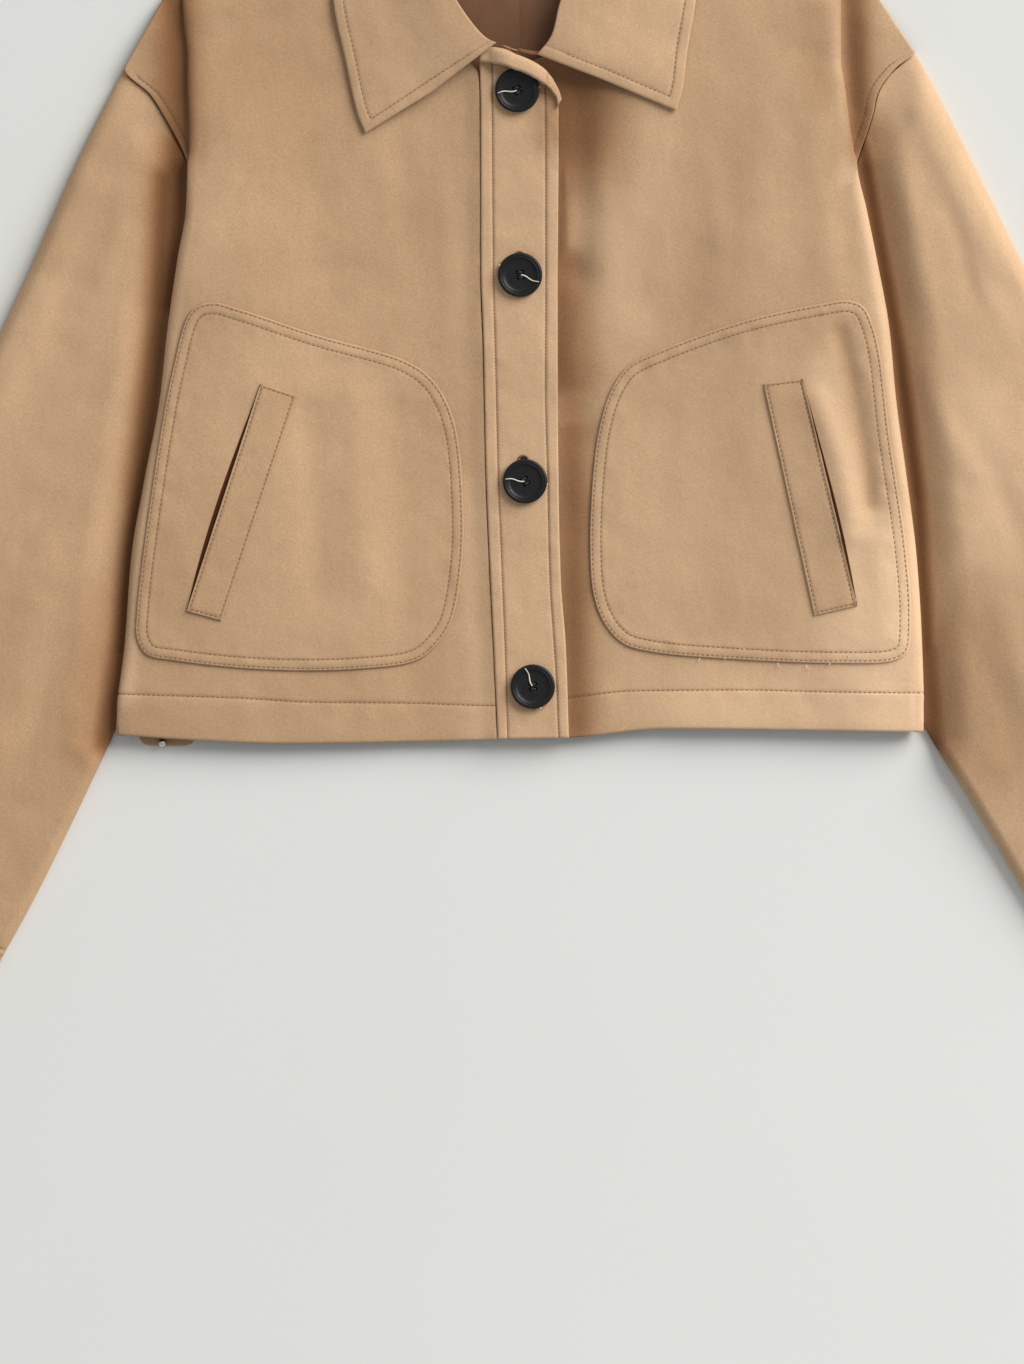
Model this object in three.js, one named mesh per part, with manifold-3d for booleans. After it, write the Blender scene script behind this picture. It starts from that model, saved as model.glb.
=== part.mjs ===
// Suede jacket laid flat on a table, front up. Millimetres, +Z up, collar towards +Y, hem towards -Y.
// Right and left are the wearer's: the right front, which lies on top, is on the -X side.
// The origin is on the underside of the back panel, level with the lower end of the armholes.
import * as THREE from "three";
import { mergeVertices } from "three/addons/utils/BufferGeometryUtils.js";
import Module from "manifold-3d";

// Cloth and seams
const CLOTH = 1.6; // wall of one bonded layer
const HEM_CLOTH = 2.6; // wall where the hem is turned up
const SEAM_GAP = 0.4; // clearance between two pieces that are sewn together
const LAY_GAP = 0.5; // clearance under a piece that lies on a panel

// Body
const HEM_Y = -214; // level of the lower edge
const HEM_DEPTH = 24; // turned-up hem
const FOLD_END_Y = 150; // above this level the armhole seam shows and nothing is folded over the sleeve
const ARMHOLE_TOP_Y = 209; // where armhole, shoulder and sleeve meet
const NECK_POINT_Y = 315; // highest point of the shoulders
const SHOULDER_DROP = 4.5; // the front rolls down to the shoulder seam by this much
const SHOULDER_ROLL = 30; // over this distance
const SIDE_ROLL = 7; // radius across the rolled side edge
const ROLL_SHARE = 0.3; // and at most this share of a narrow row
const FULL_FOLD = 15; // the side is fully folded under once it overlaps by this much
const UNDER_REACH = 5; // the roll comes back under itself by this much
const FLAP_Z = 7.4; // underside of the side flap where it lies on the sleeve
const FLAP_SAG = 0.15; // and it sags by this much on its way in
const FLAP_STOP = 2; // it bends down to the seam from here
const SEAM_TUCK = 4; // and runs in by this much while it does, below the arm
const ARM_LEVEL = 6; // the flap is sewn to the back from this level
const ARM_BLEND = 20; // to this far below it
const SEAM_Z = 1.9; // height at which the flap meets the edge of the back
const EDGE_TURN = 4.4; // the edge of the front dips by this much into a visible seam
const EDGE_LOWEST = 0.7;
const HEM_EASE = 64; // the rows bend towards the lower edge over this height

// Sleeves
const UNDER_FLAP_Z = 6.7; // top of the sleeve where the body lies on it
const HOLLOW_STEP = 1.5; // it is higher by this much at the shoulder and lower by as much at the hem
const HOLLOW_SHOULDER = { from: 125, over: 30 };
const HOLLOW_HEM = { from: -150, over: 50 };
const HOLLOW_FADE = 0.8; // how fast the hollow ends below the hem
const SLEEVE_SHADE = 24; // the sleeve rises out of that hollow over this distance
const SLEEVE_EDGE_Z = 3.2; // height of the folded edges
const SLEEVE_EDGE_R = 9; // how far in the outer edge is rounded
const INNER_EDGE_R = 6;
const CROWN_DROP = 2.5; // a sleeve is lower at its edges by this much

// Placket, buttons, pockets and welts
const PLACKET_CLOTH = 2.4;
const LIP_RISE = 6.6; // the top edge of the placket curls up and forward over the first button
const LIP_REACH = 6.2;
const BUTTON_SHANK = 0.6; // gap of thread under a button
const BUTTON_R = 14;
const BUTTON_THICK = 3.6;
const BUTTON_RIM = 2.2;
const BUTTON_HOLE_R = 1.0;
const BUTTON_HOLE_OFFSET = 2.3;
const WELT_CLOTH = 1.5;
const POCKET_CLOTH = 1.7;
const STUD_R = 2.6;
const STUD = { x: -225.7, y: -216, gap: 0.3 };

// Outline of the body by height: fold is where the front turns under (or its armhole and shoulder edge),
// seam is where it is sewn to the back or the sleeve, rise is how far the side stands over the middle.
const BODY = [
  { y: -214, foldR: 254.5, seamR: 254.5, foldL: 254.2, seamL: 254.2, rise: 2 },
  { y: -190, foldR: 253.0, seamR: 245.2, foldL: 254.3, seamL: 246.0, rise: 4 },
  { y: -150, foldR: 248.7, seamR: 227.4, foldL: 253.2, seamL: 227.8, rise: 6.5 },
  { y: -100, foldR: 243.5, seamR: 204.6, foldL: 250.0, seamL: 205.0, rise: 8.5 },
  { y: -50, foldR: 232.5, seamR: 182.3, foldL: 243.8, seamL: 182.5, rise: 9.5 },
  { y: 0, foldR: 225.5, seamR: 160.0, foldL: 237.0, seamL: 160.0, rise: 9.5 },
  { y: 45, foldR: 222.0, seamR: 176.5, foldL: 232.7, seamL: 177.5, rise: 9 },
  { y: 90, foldR: 215.5, seamR: 190.5, foldL: 224.6, seamL: 192.5, rise: 8 },
  { y: 120, foldR: 210.5, seamR: 200.0, foldL: 218.5, seamL: 202.5, rise: 6 },
  { y: 150, foldR: 209.5, seamR: 209.5, foldL: 212.4, seamL: 212.4, rise: 4.5 },
  { y: 180, foldR: 225.2, seamR: 225.2, foldL: 222.5, seamL: 222.5, rise: 3.5 },
  { y: 193, foldR: 233.7, seamR: 233.7, foldL: 226.5, seamL: 226.5, rise: 3 },
  { y: 209, foldR: 249.8, seamR: 249.8, foldL: 245.0, seamL: 245.0, rise: 2.5 },
  { y: 252, foldR: 225.5, seamR: 225.5, foldL: 227.0, seamL: 227.0, rise: 1 },
  { y: 271, foldR: 207.9, seamR: 207.9, foldL: 209.0, seamL: 209.0, rise: 0.5 },
  { y: 315, foldR: 92.0, seamR: 92.0, foldL: 92.0, seamL: 92.0, rise: 0 },
];

// Inner edges by height: the placket's own edges, the hidden edge of the left front, and both necklines.
const CENTRE = [
  { y: -214, placketR: -13.9, placketL: 30.9, frontR: -14.3, frontL: -6 },
  { y: -155, placketR: -16.7, placketL: 29.0, frontR: -17.1, frontL: -9 },
  { y: -110, placketR: -18.9, placketL: 25.8, frontR: -19.3, frontL: -11 },
  { y: -50, placketR: -21.4, placketL: 24.4, frontR: -21.8, frontL: -14 },
  { y: 27, placketR: -23.0, placketL: 23.9, frontR: -23.4, frontL: -16 },
  { y: 75, placketR: -24.6, placketL: 23.9, frontR: -25.0, frontL: -17 },
  { y: 171, placketR: -24.8, placketL: 24.4, frontR: -25.2, frontL: -17 },
  { y: 205, placketR: -25.6, placketL: 24.4, frontR: -26.0, frontL: -14 },
  { y: 212, placketR: -25.6, placketL: 24.4, frontR: -30, frontL: 2 },
  { y: 222, placketR: -25.6, placketL: 24.4, frontR: -40, frontL: 28 },
  { y: 236, placketR: -25.6, placketL: 24.4, frontR: -52, frontL: 47 },
  { y: 255, placketR: -25.6, placketL: 24.4, frontR: -65, frontL: 63 },
  { y: 285, placketR: -25.6, placketL: 24.4, frontR: -78, frontL: 78 },
  { y: 315, placketR: -25.6, placketL: 24.4, frontR: -85, frontL: 85 },
];

// Height of the fronts over the table along the middle.
const MIDDLE = [
  { y: -214, z: 10.2 },
  { y: -100, z: 9.4 },
  { y: 60, z: 9.6 },
  { y: 180, z: 10.4 },
  { y: 315, z: 9.0 },
];

// How far the lower edge lies below (negative) or above the hem level, by x.
const HEM_LINE = [
  { x: -255, dy: 2.6 },
  { x: -205, dy: -0.8 },
  { x: -150, dy: -2.7 },
  { x: -72, dy: -1.5 },
  { x: 0, dy: 0.6 },
  { x: 31, dy: 1.0 },
  { x: 93, dy: 6.6 },
  { x: 198, dy: 5.3 },
  { x: 255, dy: 4.5 },
];

// Largest soft folds: a ridge (positive) or trough from one point to another, with its half width.
const FOLDS = [
  { x0: 38, y0: 205, x1: 36, y1: 80, half: 11, lift: -3.0 },
  { x0: 36, y0: 80, x1: 40, y1: -25, half: 11, lift: -2.0 },
  { x0: -182, y0: 165, x1: -178, y1: 70, half: 26, lift: 2.6 },
  { x0: -135, y0: 190, x1: -120, y1: 80, half: 20, lift: -1.2 },
  { x0: 98, y0: 175, x1: 104, y1: 75, half: 20, lift: 1.8 },
  { x0: 134, y0: 185, x1: 136, y1: 60, half: 16, lift: -2.0 },
  { x0: 185, y0: 170, x1: 196, y1: 80, half: 18, lift: 1.8 },
  { x0: 140, y0: 40, x1: 150, y1: -40, half: 20, lift: 1.4 },
  { x0: -120, y0: -60, x1: -100, y1: -150, half: 30, lift: 1.2 },
  { x0: -60, y0: -180, x1: -64, y1: -214, half: 22, lift: -1.0 },
  { x0: 110, y0: -180, x1: 112, y1: -208, half: 26, lift: 1.4 },
  { x0: -270, y0: 130, x1: -330, y1: 0, half: 14, lift: 1.8 },
  { x0: -300, y0: -60, x1: -375, y1: -250, half: 22, lift: 1.6 },
  { x0: 252, y0: 180, x1: 300, y1: 85, half: 10, lift: 2.2 },
  { x0: 238, y0: 165, x1: 250, y1: 70, half: 10, lift: 1.6 },
  { x0: 310, y0: -30, x1: 385, y1: -230, half: 24, lift: 1.8 },
];

// Above the arm the front folds forward: the fold's place on each side, and how far the cloth
// outside it drops.
const LEDGE = [
  { y: 150, right: 209.5, left: 212.4, drop: 0 },
  { y: 160, right: 207.6, left: 210.6, drop: 1.5 },
  { y: 176, right: 206.8, left: 208.2, drop: 5 },
  { y: 214, right: 207, left: 204.8, drop: 6 },
  { y: 240, right: 210.5, left: 204.4, drop: 5 },
  { y: 268, right: 214, left: 204, drop: 1.5 },
];
const LEDGE_WIDTH = 3; // the drop itself is this wide
const LEDGE_FLAT = 0.4; // past this share of the way to the rolled edge the cloth comes up again
const LEDGE_LOWEST = 5.2; // and it drops no lower than this

// Upper edge of the placket, by x.
const PLACKET_TOP = [
  { x: -25.6, y: 219 },
  { x: -10.7, y: 217 },
  { x: -2.8, y: 213.2 },
  { x: 5, y: 210 },
  { x: 13.9, y: 205 },
  { x: 17.6, y: 201 },
  { x: 21.4, y: 195.9 },
  { x: 24.4, y: 187 },
];

// Sleeve outlines in plan, from the armhole to the cuff. The inner edge starts at the underarm.
const SLEEVE_R = {
  outer: [[-250.2, 209.2], [-277.5, 155], [-306.8, 88.2], [-327.6, 43.5], [-408, -127.5], [-488, -299]],
  inner: [[-160.4, 0], [-209, -104], [-256.4, -211], [-280.8, -263], [-306.6, -315], [-335.2, -367]],
};
const SLEEVE_L = {
  outer: [[245.4, 209.4], [270.3, 178.9], [301.8, 117.2], [317.5, 85], [407, -97], [495, -278]],
  inner: [[160.4, 0], [209, -104], [256.2, -208], [283.2, -251.4], [317.5, -309.1], [348.2, -359.4]],
};

// Crown of a sleeve over the table, by the share of its length from the armhole.
const SLEEVE_CROWN = [
  { v: 0, z: 12.5 },
  { v: 0.25, z: 16 },
  { v: 0.6, z: 15 },
  { v: 1, z: 11.5 },
];

// Patch pocket outlines in plan, clockwise seen from above on the right front.
const POCKET_R = [
  [-206.6, 56.1], [-194, 61.1], [-177.7, 57.3], [-129.8, 41.6], [-71.8, 24.6], [-56.1, 13.9],
  [-46, -1.3], [-39.7, -20.8], [-35.9, -60], [-36.2, -100], [-42.8, -138.6], [-50.4, -151.8],
  [-64.3, -163.8], [-100.8, -169.5], [-160, -170], [-216.7, -164.4], [-235, -160.5], [-241.3, -149.9],
  [-241.4, -136], [-232.8, -64.9], [-218.3, 19.5],
];
const POCKET_L = [
  [206.8, 62.4], [216.1, 58.6], [222.2, 46.5], [226.8, 27.7], [232.5, -20.8], [243.2, -93.9],
  [246.2, -136], [243.8, -158.8], [235.5, -164.3], [200, -165.9], [141.1, -163.8], [83.2, -158.8],
  [65.5, -153.8], [54.2, -142.4], [46.6, -124], [44.1, -90], [46.6, -40.3], [50.4, -15.1],
  [57.4, 6.3], [67.5, 20.8], [88.8, 31.5], [141.1, 49.8], [189, 60.2],
];

// Corners of the welts in plan: upper outer, upper inner, lower inner, lower outer.
const WELT_R = [[-163.2, 10.1], [-140.5, 2.5], [-187.7, -139.2], [-209.8, -133.2]];
const WELT_L = [[153.1, 10.1], [177.7, 13.2], [212.3, -129.8], [185.2, -136.1]];

// The tab under the back hem, in plan.
const HEM_TAB = [
  [-240, -209.3], [-205, -211.4], [-206.5, -217], [-214, -218.2], [-232, -218], [-239, -215.5],
];

const BUTTONS = [
  { x: -1.7, y: 194.9 },
  { x: 0.1, y: 78.7 },
  { x: 3.2, y: -51.3 },
  { x: 8.1, y: -180.6 },
];

// Collar stations from the right front end round the back of the neck to the left front end.
// neck is the seam on the body, roll the folded top edge, fall the middle of the leaf and edge its free edge.
// Heights: neckZ and rollZ over the table, fallLift and edgeLift over whatever the leaf lies on.
const COLLAR = [
  {
    neck: [-25, 223], neckZ: 16, roll: [-15, 224.5], rollZ: 20,
    fall:[-56, 193.5], fallLift: 5.6, edge: [-97.5, 167.8], edgeLift: 3.0,
  },
  {
    neck: [-37, 224], neckZ: 13.2, roll: [-22.7, 229], rollZ: 18,
    fall:[-62, 209], fallLift: 6.0, edge: [-102.5, 180], edgeLift: 3.0,
  },
  {
    neck: [-60, 248], neckZ: 12.8, roll: [-40.3, 252], rollZ: 19,
    fall:[-75, 236], fallLift: 6.4, edge: [-110.2, 214], edgeLift: 3.0,
  },
  {
    neck: [-76, 282], neckZ: 12.4, roll: [-55, 284], rollZ: 20.5,
    fall:[-86, 270], fallLift: 7, edge: [-117.8, 252], edgeLift: 3.8,
  },
  {
    neck: [-84.5, 312], neckZ: 11.8, roll: [-64, 314], rollZ: 20.5,
    fall:[-92, 316], fallLift: 9, edge: [-118, 304], edgeLift: 6,
  },
  {
    neck: [-74, 318.5], neckZ: 8, roll: [-58, 336], rollZ: 17,
    fall:[-86, 343], fallLift: 7, edge: [-100, 326], edgeLift: 1.6,
  },
  {
    neck: [-42, 306], neckZ: 5.6, roll: [-34, 350], rollZ: 12,
    fall:[-42, 358], fallLift: 5, edge: [-56, 320], edgeLift: 1.1,
  },
  {
    neck: [0, 301], neckZ: 5.2, roll: [0, 353], rollZ: 11,
    fall:[0, 361], fallLift: 4.6, edge: [0, 314], edgeLift: 1.1,
  },
  {
    neck: [42, 306], neckZ: 5.6, roll: [34, 350], rollZ: 12,
    fall:[42, 358], fallLift: 5, edge: [56, 320], edgeLift: 1.1,
  },
  {
    neck: [74, 318.5], neckZ: 8, roll: [58, 336], rollZ: 17,
    fall:[86, 343], fallLift: 7, edge: [100, 326], edgeLift: 1.6,
  },
  {
    neck: [84.5, 312], neckZ: 11.8, roll: [60, 312], rollZ: 20.5,
    fall:[90, 313], fallLift: 9, edge: [116, 304], edgeLift: 6,
  },
  {
    neck: [76, 282], neckZ: 12.4, roll: [42, 284], rollZ: 20.5,
    fall:[78, 266], fallLift: 7, edge: [111, 252], edgeLift: 3.2,
  },
  {
    neck: [58, 248], neckZ: 12.8, roll: [25.8, 252], rollZ: 19,
    fall:[66, 233], fallLift: 6.4, edge: [105.5, 219], edgeLift: 3.0,
  },
  {
    neck: [40, 229], neckZ: 13.2, roll: [19.6, 229], rollZ: 17.6,
    fall:[60, 213], fallLift: 6.0, edge: [102.5, 195], edgeLift: 3.0,
  },
  {
    neck: [22, 219], neckZ: 12.9, roll: [10.7, 217.3], rollZ: 16,
    fall:[53, 201], fallLift: 5.0, edge: [98.5, 182], edgeLift: 3.0,
  },
];
const COLLAR_CLOTH = 1.8;
// The left end of the stand runs on behind the placket.
const STAND_END = { neck: [-4, 218.5], neckZ: 13, roll: [-12.5, 224.5], rollZ: 15.5 };

const SUEDE = "#c49c74";
const BLACK = "#1f1f1e";
const SILVER = "#c9c9c7";
const finish = (name, color, roughness, metalness) =>
  new THREE.MeshStandardMaterial({ name, color, roughness, metalness });
const suede = () => finish("suede", SUEDE, 0.95, 0);
const black = () => finish("black_resin", BLACK, 0.35, 0);
const silver = () => finish("stud_metal", SILVER, 0.25, 1);

const wasm = await Module();
wasm.setup();
const lerp = THREE.MathUtils.lerp;
const clamp01 = (t) => Math.min(1, Math.max(0, t));
const smooth = (t) => clamp01(t) ** 2 * (3 - 2 * clamp01(t));

// A column of a table, read at any place of its key column, by cubic steps that never overshoot the rows.
function column(table, key, at, by = "y") {
  const last = table.length - 1;
  const a = THREE.MathUtils.clamp(at, table[0][by], table[last][by]);
  let i = 0;
  while (i < last - 1 && a > table[i + 1][by]) i += 1;
  const slope = (j) => (table[j + 1][key] - table[j][key]) / (table[j + 1][by] - table[j][by]);
  const tangent = (j) => {
    if (j === 0) return slope(0);
    if (j === last) return slope(last - 1);
    const [before, after] = [slope(j - 1), slope(j)];
    return before * after <= 0 ? 0 : (2 * before * after) / (before + after);
  };
  const span = table[i + 1][by] - table[i][by];
  const t = (a - table[i][by]) / span;
  const [t2, t3] = [t * t, t * t * t];
  return (
    (2 * t3 - 3 * t2 + 1) * table[i][key] + (t3 - 2 * t2 + t) * span * tangent(i) +
    (3 * t2 - 2 * t3) * table[i + 1][key] + (t3 - t2) * span * tangent(i + 1)
  );
}

const foldX = (x, y) => column(BODY, x < 0 ? "foldR" : "foldL", y);
const seamX = (x, y) => column(BODY, x < 0 ? "seamR" : "seamL", y);

// Sum of the ridges and troughs at a point: each fades with the distance from its line.
function foldLift(x, y) {
  let sum = 0;
  for (const f of FOLDS) {
    const [dx, dy] = [f.x1 - f.x0, f.y1 - f.y0];
    const t = clamp01(((x - f.x0) * dx + (y - f.y0) * dy) / (dx * dx + dy * dy));
    const away = Math.hypot(x - f.x0 - t * dx, y - f.y0 - t * dy) / f.half;
    sum += f.lift * Math.exp(-away * away);
  }
  return sum;
}

// Distance inside the straight shoulder line between the rows at 271 and 315.
function shoulderDistance(x, y) {
  const [low, high] = BODY.slice(-2);
  const edge = (row) => (x < 0 ? row.foldR : row.foldL);
  const [dx, dy] = [edge(high) - edge(low), high.y - low.y];
  return (dx * (y - low.y) - dy * (Math.abs(x) - edge(low))) / Math.hypot(dx, dy);
}

const ledgeX = (x, y) => column(LEDGE, x < 0 ? "right" : "left", y);

// Height of the upper face of the fronts, without their rolled edge.
function frontTop(x, y) {
  const share = Math.abs(x) / foldX(x, y);
  const side = smooth((share - 0.25) / 0.65) * column(BODY, "rise", y);
  const roll = 1 - smooth(shoulderDistance(x, y) / SHOULDER_ROLL);
  const top = column(MIDDLE, "z", y) + side + foldLift(x, y) - SHOULDER_DROP * roll;
  const past = Math.abs(x) - ledgeX(x, y);
  const room = foldX(x, y) - 2 * SIDE_ROLL - ledgeX(x, y);
  if (y <= FOLD_END_Y || past <= 0 || past >= room) return top;
  const rise = smooth((past / room - LEDGE_FLAT) / (1 - LEDGE_FLAT));
  const drop = column(LEDGE, "drop", y) * smooth(past / LEDGE_WIDTH) * (1 - rise);
  return Math.max(top - drop, Math.min(top, LEDGE_LOWEST));
}

// A mesh from rows of points (all rows as long) as a wall: the points are its outer face, and the inner
// face is moved in along the normals by the thickness. A ring row closes on itself.
function wall(rows, thickness, { ring = false, flip = false } = {}) {
  const [n, m] = [rows.length, rows[0].length];
  const within = (k, count) => THREE.MathUtils.clamp(k, 0, count - 1);
  const at = (i, j) => rows[within(i, n)][ring ? (j + m) % m : within(j, m)];
  const positions = [];
  const [a, b, normal] = [new THREE.Vector3(), new THREE.Vector3(), new THREE.Vector3()];
  const inner = [];
  rows.forEach((row, i) => {
    row.forEach((p, j) => {
      a.subVectors(at(i + 1, j), at(i - 1, j));
      b.subVectors(at(i, j + 1), at(i, j - 1));
      normal.crossVectors(a, b).normalize().multiplyScalar(flip ? -1 : 1);
      positions.push(p.x, p.y, p.z);
      const t = typeof thickness === "function" ? thickness(p) : thickness;
      inner.push(p.x + normal.x * t, p.y + normal.y * t, p.z + normal.z * t);
    });
  });
  const index = [];
  const quad = (p, q, r, s) => index.push(...(flip ? [p, q, r, p, r, s] : [p, r, q, p, s, r]));
  const out = (i, j) => i * m + (j % m);
  const inn = (i, j) => n * m + i * m + (j % m);
  const columns = ring ? m : m - 1;
  for (let i = 0; i < n - 1; i += 1) {
    for (let j = 0; j < columns; j += 1) {
      quad(out(i, j), out(i + 1, j), out(i + 1, j + 1), out(i, j + 1));
      quad(inn(i, j), inn(i, j + 1), inn(i + 1, j + 1), inn(i + 1, j));
    }
  }
  for (let j = 0; j < columns; j += 1) {
    quad(out(0, j), out(0, j + 1), inn(0, j + 1), inn(0, j));
    quad(out(n - 1, j + 1), out(n - 1, j), inn(n - 1, j), inn(n - 1, j + 1));
  }
  if (!ring) {
    for (let i = 0; i < n - 1; i += 1) {
      quad(out(i + 1, 0), out(i, 0), inn(i, 0), inn(i + 1, 0));
      quad(out(i, m - 1), out(i + 1, m - 1), inn(i + 1, m - 1), inn(i, m - 1));
    }
  }
  const geometry = new THREE.BufferGeometry();
  geometry.setAttribute("position", new THREE.Float32BufferAttribute([...positions, ...inner], 3));
  geometry.setIndex(index);
  return geometry;
}

// A smooth curve in plan through a table of points.
function planCurve(points, closed = false) {
  const vectors = points.map(([x, y]) => new THREE.Vector3(x, y, 0));
  return new THREE.CatmullRomCurve3(vectors, closed, "centripetal");
}

// A flat plate of a closed plan outline.
function plate(outline, z, thickness) {
  const shape = new THREE.Shape(outline.map(([x, y]) => new THREE.Vector2(x, y)));
  const geometry = new THREE.ExtrudeGeometry(shape, { depth: thickness, bevelEnabled: false });
  return geometry.translate(0, 0, z);
}

// A patch on the fronts: rings of its outline drawn in towards its middle, at a height given by plan place.
function patch(outline, steps, height, thickness) {
  const edge = planCurve(outline, true).getSpacedPoints(steps).slice(0, steps);
  const middle = edge.reduce((sum, p) => sum.add(p), new THREE.Vector3()).divideScalar(steps);
  const scales = [1, 0.8, 0.55, 0.28];
  const positions = [];
  for (const low of [0, thickness]) {
    for (const s of scales) {
      for (const p of edge) {
        const [x, y] = [lerp(middle.x, p.x, s), lerp(middle.y, p.y, s)];
        positions.push(x, y, height(x, y) + low);
      }
    }
    positions.push(middle.x, middle.y, height(middle.x, middle.y) + low);
  }
  const layer = scales.length * steps + 1;
  const index = [];
  const turn = THREE.ShapeUtils.area(edge) > 0;
  const tri = (p, q, r, up) => index.push(...(turn === up ? [p, q, r] : [p, r, q]));
  for (const [base, up] of [[0, false], [layer, true]]) {
    for (let k = 0; k < steps; k += 1) {
      const next = (k + 1) % steps;
      for (let s = 0; s < scales.length - 1; s += 1) {
        const [p, q] = [base + s * steps + k, base + s * steps + next];
        tri(p, q, q + steps, up);
        tri(p, q + steps, p + steps, up);
      }
      const last = base + (scales.length - 1) * steps;
      tri(last + k, last + next, base + layer - 1, up);
    }
  }
  for (let k = 0; k < steps; k += 1) {
    const next = (k + 1) % steps;
    tri(k, next, layer + next, true);
    tri(k, layer + next, layer + k, true);
  }
  const geometry = new THREE.BufferGeometry();
  geometry.setAttribute("position", new THREE.Float32BufferAttribute(positions, 3));
  geometry.setIndex(index);
  return geometry;
}

// One row of a front from its centre edge out to the rolled side, round it and along the flap to the seam.
// Above the arm its columns move, so that one stands on the fold and one at its foot.
function frontRow(y, side) {
  const inward = -side;
  const centre = column(CENTRE, side < 0 ? "frontR" : "frontL", y);
  const edge = side * foldX(side, y);
  const overlap = foldX(side, y) - seamX(side, y);
  const roll = Math.min(SIDE_ROLL, Math.abs(edge - centre) * ROLL_SHARE);
  const start = edge + inward * roll;
  const top = frontTop(start, y);
  const folded = smooth(overlap / FULL_FOLD);
  const belowArm = 1 - smooth((y - ARM_LEVEL) / ARM_BLEND + 1);
  const turned = Math.max(top - EDGE_TURN, EDGE_LOWEST);
  const under = lerp(lerp(top, turned, 0.7), FLAP_Z, folded);
  const end = lerp(lerp(turned, FLAP_Z - 0.05, folded), SEAM_Z, belowArm);
  const middle = lerp(lerp(top, turned, 0.45), lerp(top, FLAP_Z, 0.5), folded);
  const reach = Math.min(UNDER_REACH, overlap / 2);
  const points = [];
  const shares = side < 0 ? SHARES_R : SHARES_L;
  const ledge = Math.min((side * ledgeX(side, y) - centre) / (start - centre), LEDGE_LAST);
  const foot = Math.min(ledge + LEDGE_WIDTH / Math.abs(start - centre), FOOT_LAST);
  const above = smooth((y - FOLD_END_Y) / LEDGE_BLEND);
  const corner = shares.at(-3);
  for (const share of shares) {
    const outer = share === shares.at(-2) ? foot : lerp(foot, 1, 0.5);
    const moved = share <= corner ? (share / corner) * ledge : outer;
    const x = lerp(centre, start, lerp(share, moved, above));
    points.push([x, frontTop(x, y)]);
  }
  for (const angle of [0, 28, 52, 74, 90]) {
    const a = THREE.MathUtils.degToRad(angle);
    points.push([edge + inward * roll * (1 - Math.sin(a)), lerp(middle, top, Math.cos(a))]);
  }
  for (const angle of [35, 65, 90]) {
    const a = THREE.MathUtils.degToRad(angle);
    points.push([edge + inward * reach * (1 - Math.cos(a)), lerp(middle, under, Math.sin(a))]);
  }
  const stop = Math.max(overlap - FLAP_STOP, reach + 0.02);
  for (const share of [0.5, 1]) {
    points.push([edge + inward * lerp(reach, stop, share), under - FLAP_SAG * share]);
  }
  const tuck = belowArm * SEAM_TUCK;
  points.push([edge + inward * (stop + tuck * 0.7), lerp(under - FLAP_SAG, end, 0.45)]);
  points.push([edge + inward * (stop + tuck), end]);
  return points.map(([x, z]) => {
    const low = smooth((HEM_Y + HEM_EASE - y) / HEM_EASE);
    return new THREE.Vector3(x, y + low * column(HEM_LINE, "dy", x, "x"), z);
  });
}

// Where the columns of the fronts stand between the centre edge and the rolled side.
const SHARES_R = [0, 0.09, 0.18, 0.3, 0.42, 0.54, 0.65, 0.76, 0.86, 0.94];
const SHARES_L = [0, 0.1, 0.155, 0.19, 0.22, 0.255, 0.3, 0.42, 0.53, 0.64, 0.76, 0.87, 0.95];

const LEDGE_LAST = 0.96; // largest share at which the column of the fold stands
const FOOT_LAST = 0.975; // and the one at its foot
const LEDGE_BLEND = 15; // the columns have moved there this far above the arm

const LOWER_ROWS = 22;
const FRONT_LEVELS = Array.from({ length: LOWER_ROWS }, (_, i) => lerp(HEM_Y, FOLD_END_Y, i / LOWER_ROWS));
FRONT_LEVELS.push(FOLD_END_Y, 165, 180, 194, ARMHOLE_TOP_Y, 222, 236, 252, 270, 286, 301, 313);

function front(side) {
  const rows = FRONT_LEVELS.map((y) => frontRow(y, side));
  const cloth = (p) => lerp(CLOTH, HEM_CLOTH, smooth((HEM_Y + HEM_DEPTH + 6 - p.y) / 10));
  return wall(rows, cloth, { flip: side < 0 });
}

const BACK_LEVELS = [
  HEM_Y, -150, -75, 0, 50, 100, 150, 165, 180, 187, 194, 201, 209, 222, 236, 252, 271, 315,
];
const BACK_HEM_RISE = 4; // the back ends this far above the front hem
const BACK_HEM_X = [-205, -150, -72, 0, 31, 93, 198];
const SHOULDER_INSET = { x: 3, y: 2.4, from: 195 }; // room for the rolled shoulder above this level
const NECKLINE = [[84, 312], [70, 308], [38, 302], [0, 300], [-38, 302], [-70, 308], [-84, 312]];

const backHem = (x) => HEM_Y + BACK_HEM_RISE + column(HEM_LINE, "dy", x, "x");

// The back lies flat. Its edges follow the seam column, a little inside it.
function back() {
  const half = (side) =>
    BACK_LEVELS.map((y) => {
      const shoulder = y > SHOULDER_INSET.from;
      const x = side * (seamX(side, y) - (shoulder ? SHOULDER_INSET.x : 2 * SEAM_GAP));
      return [x, y === HEM_Y ? backHem(x) : y - (shoulder ? SHOULDER_INSET.y : 0)];
    });
  const hem = BACK_HEM_X.map((x) => [x, backHem(x)]);
  return plate([...half(1), ...NECKLINE, ...half(-1).reverse(), ...hem], 0, CLOTH);
}

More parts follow.
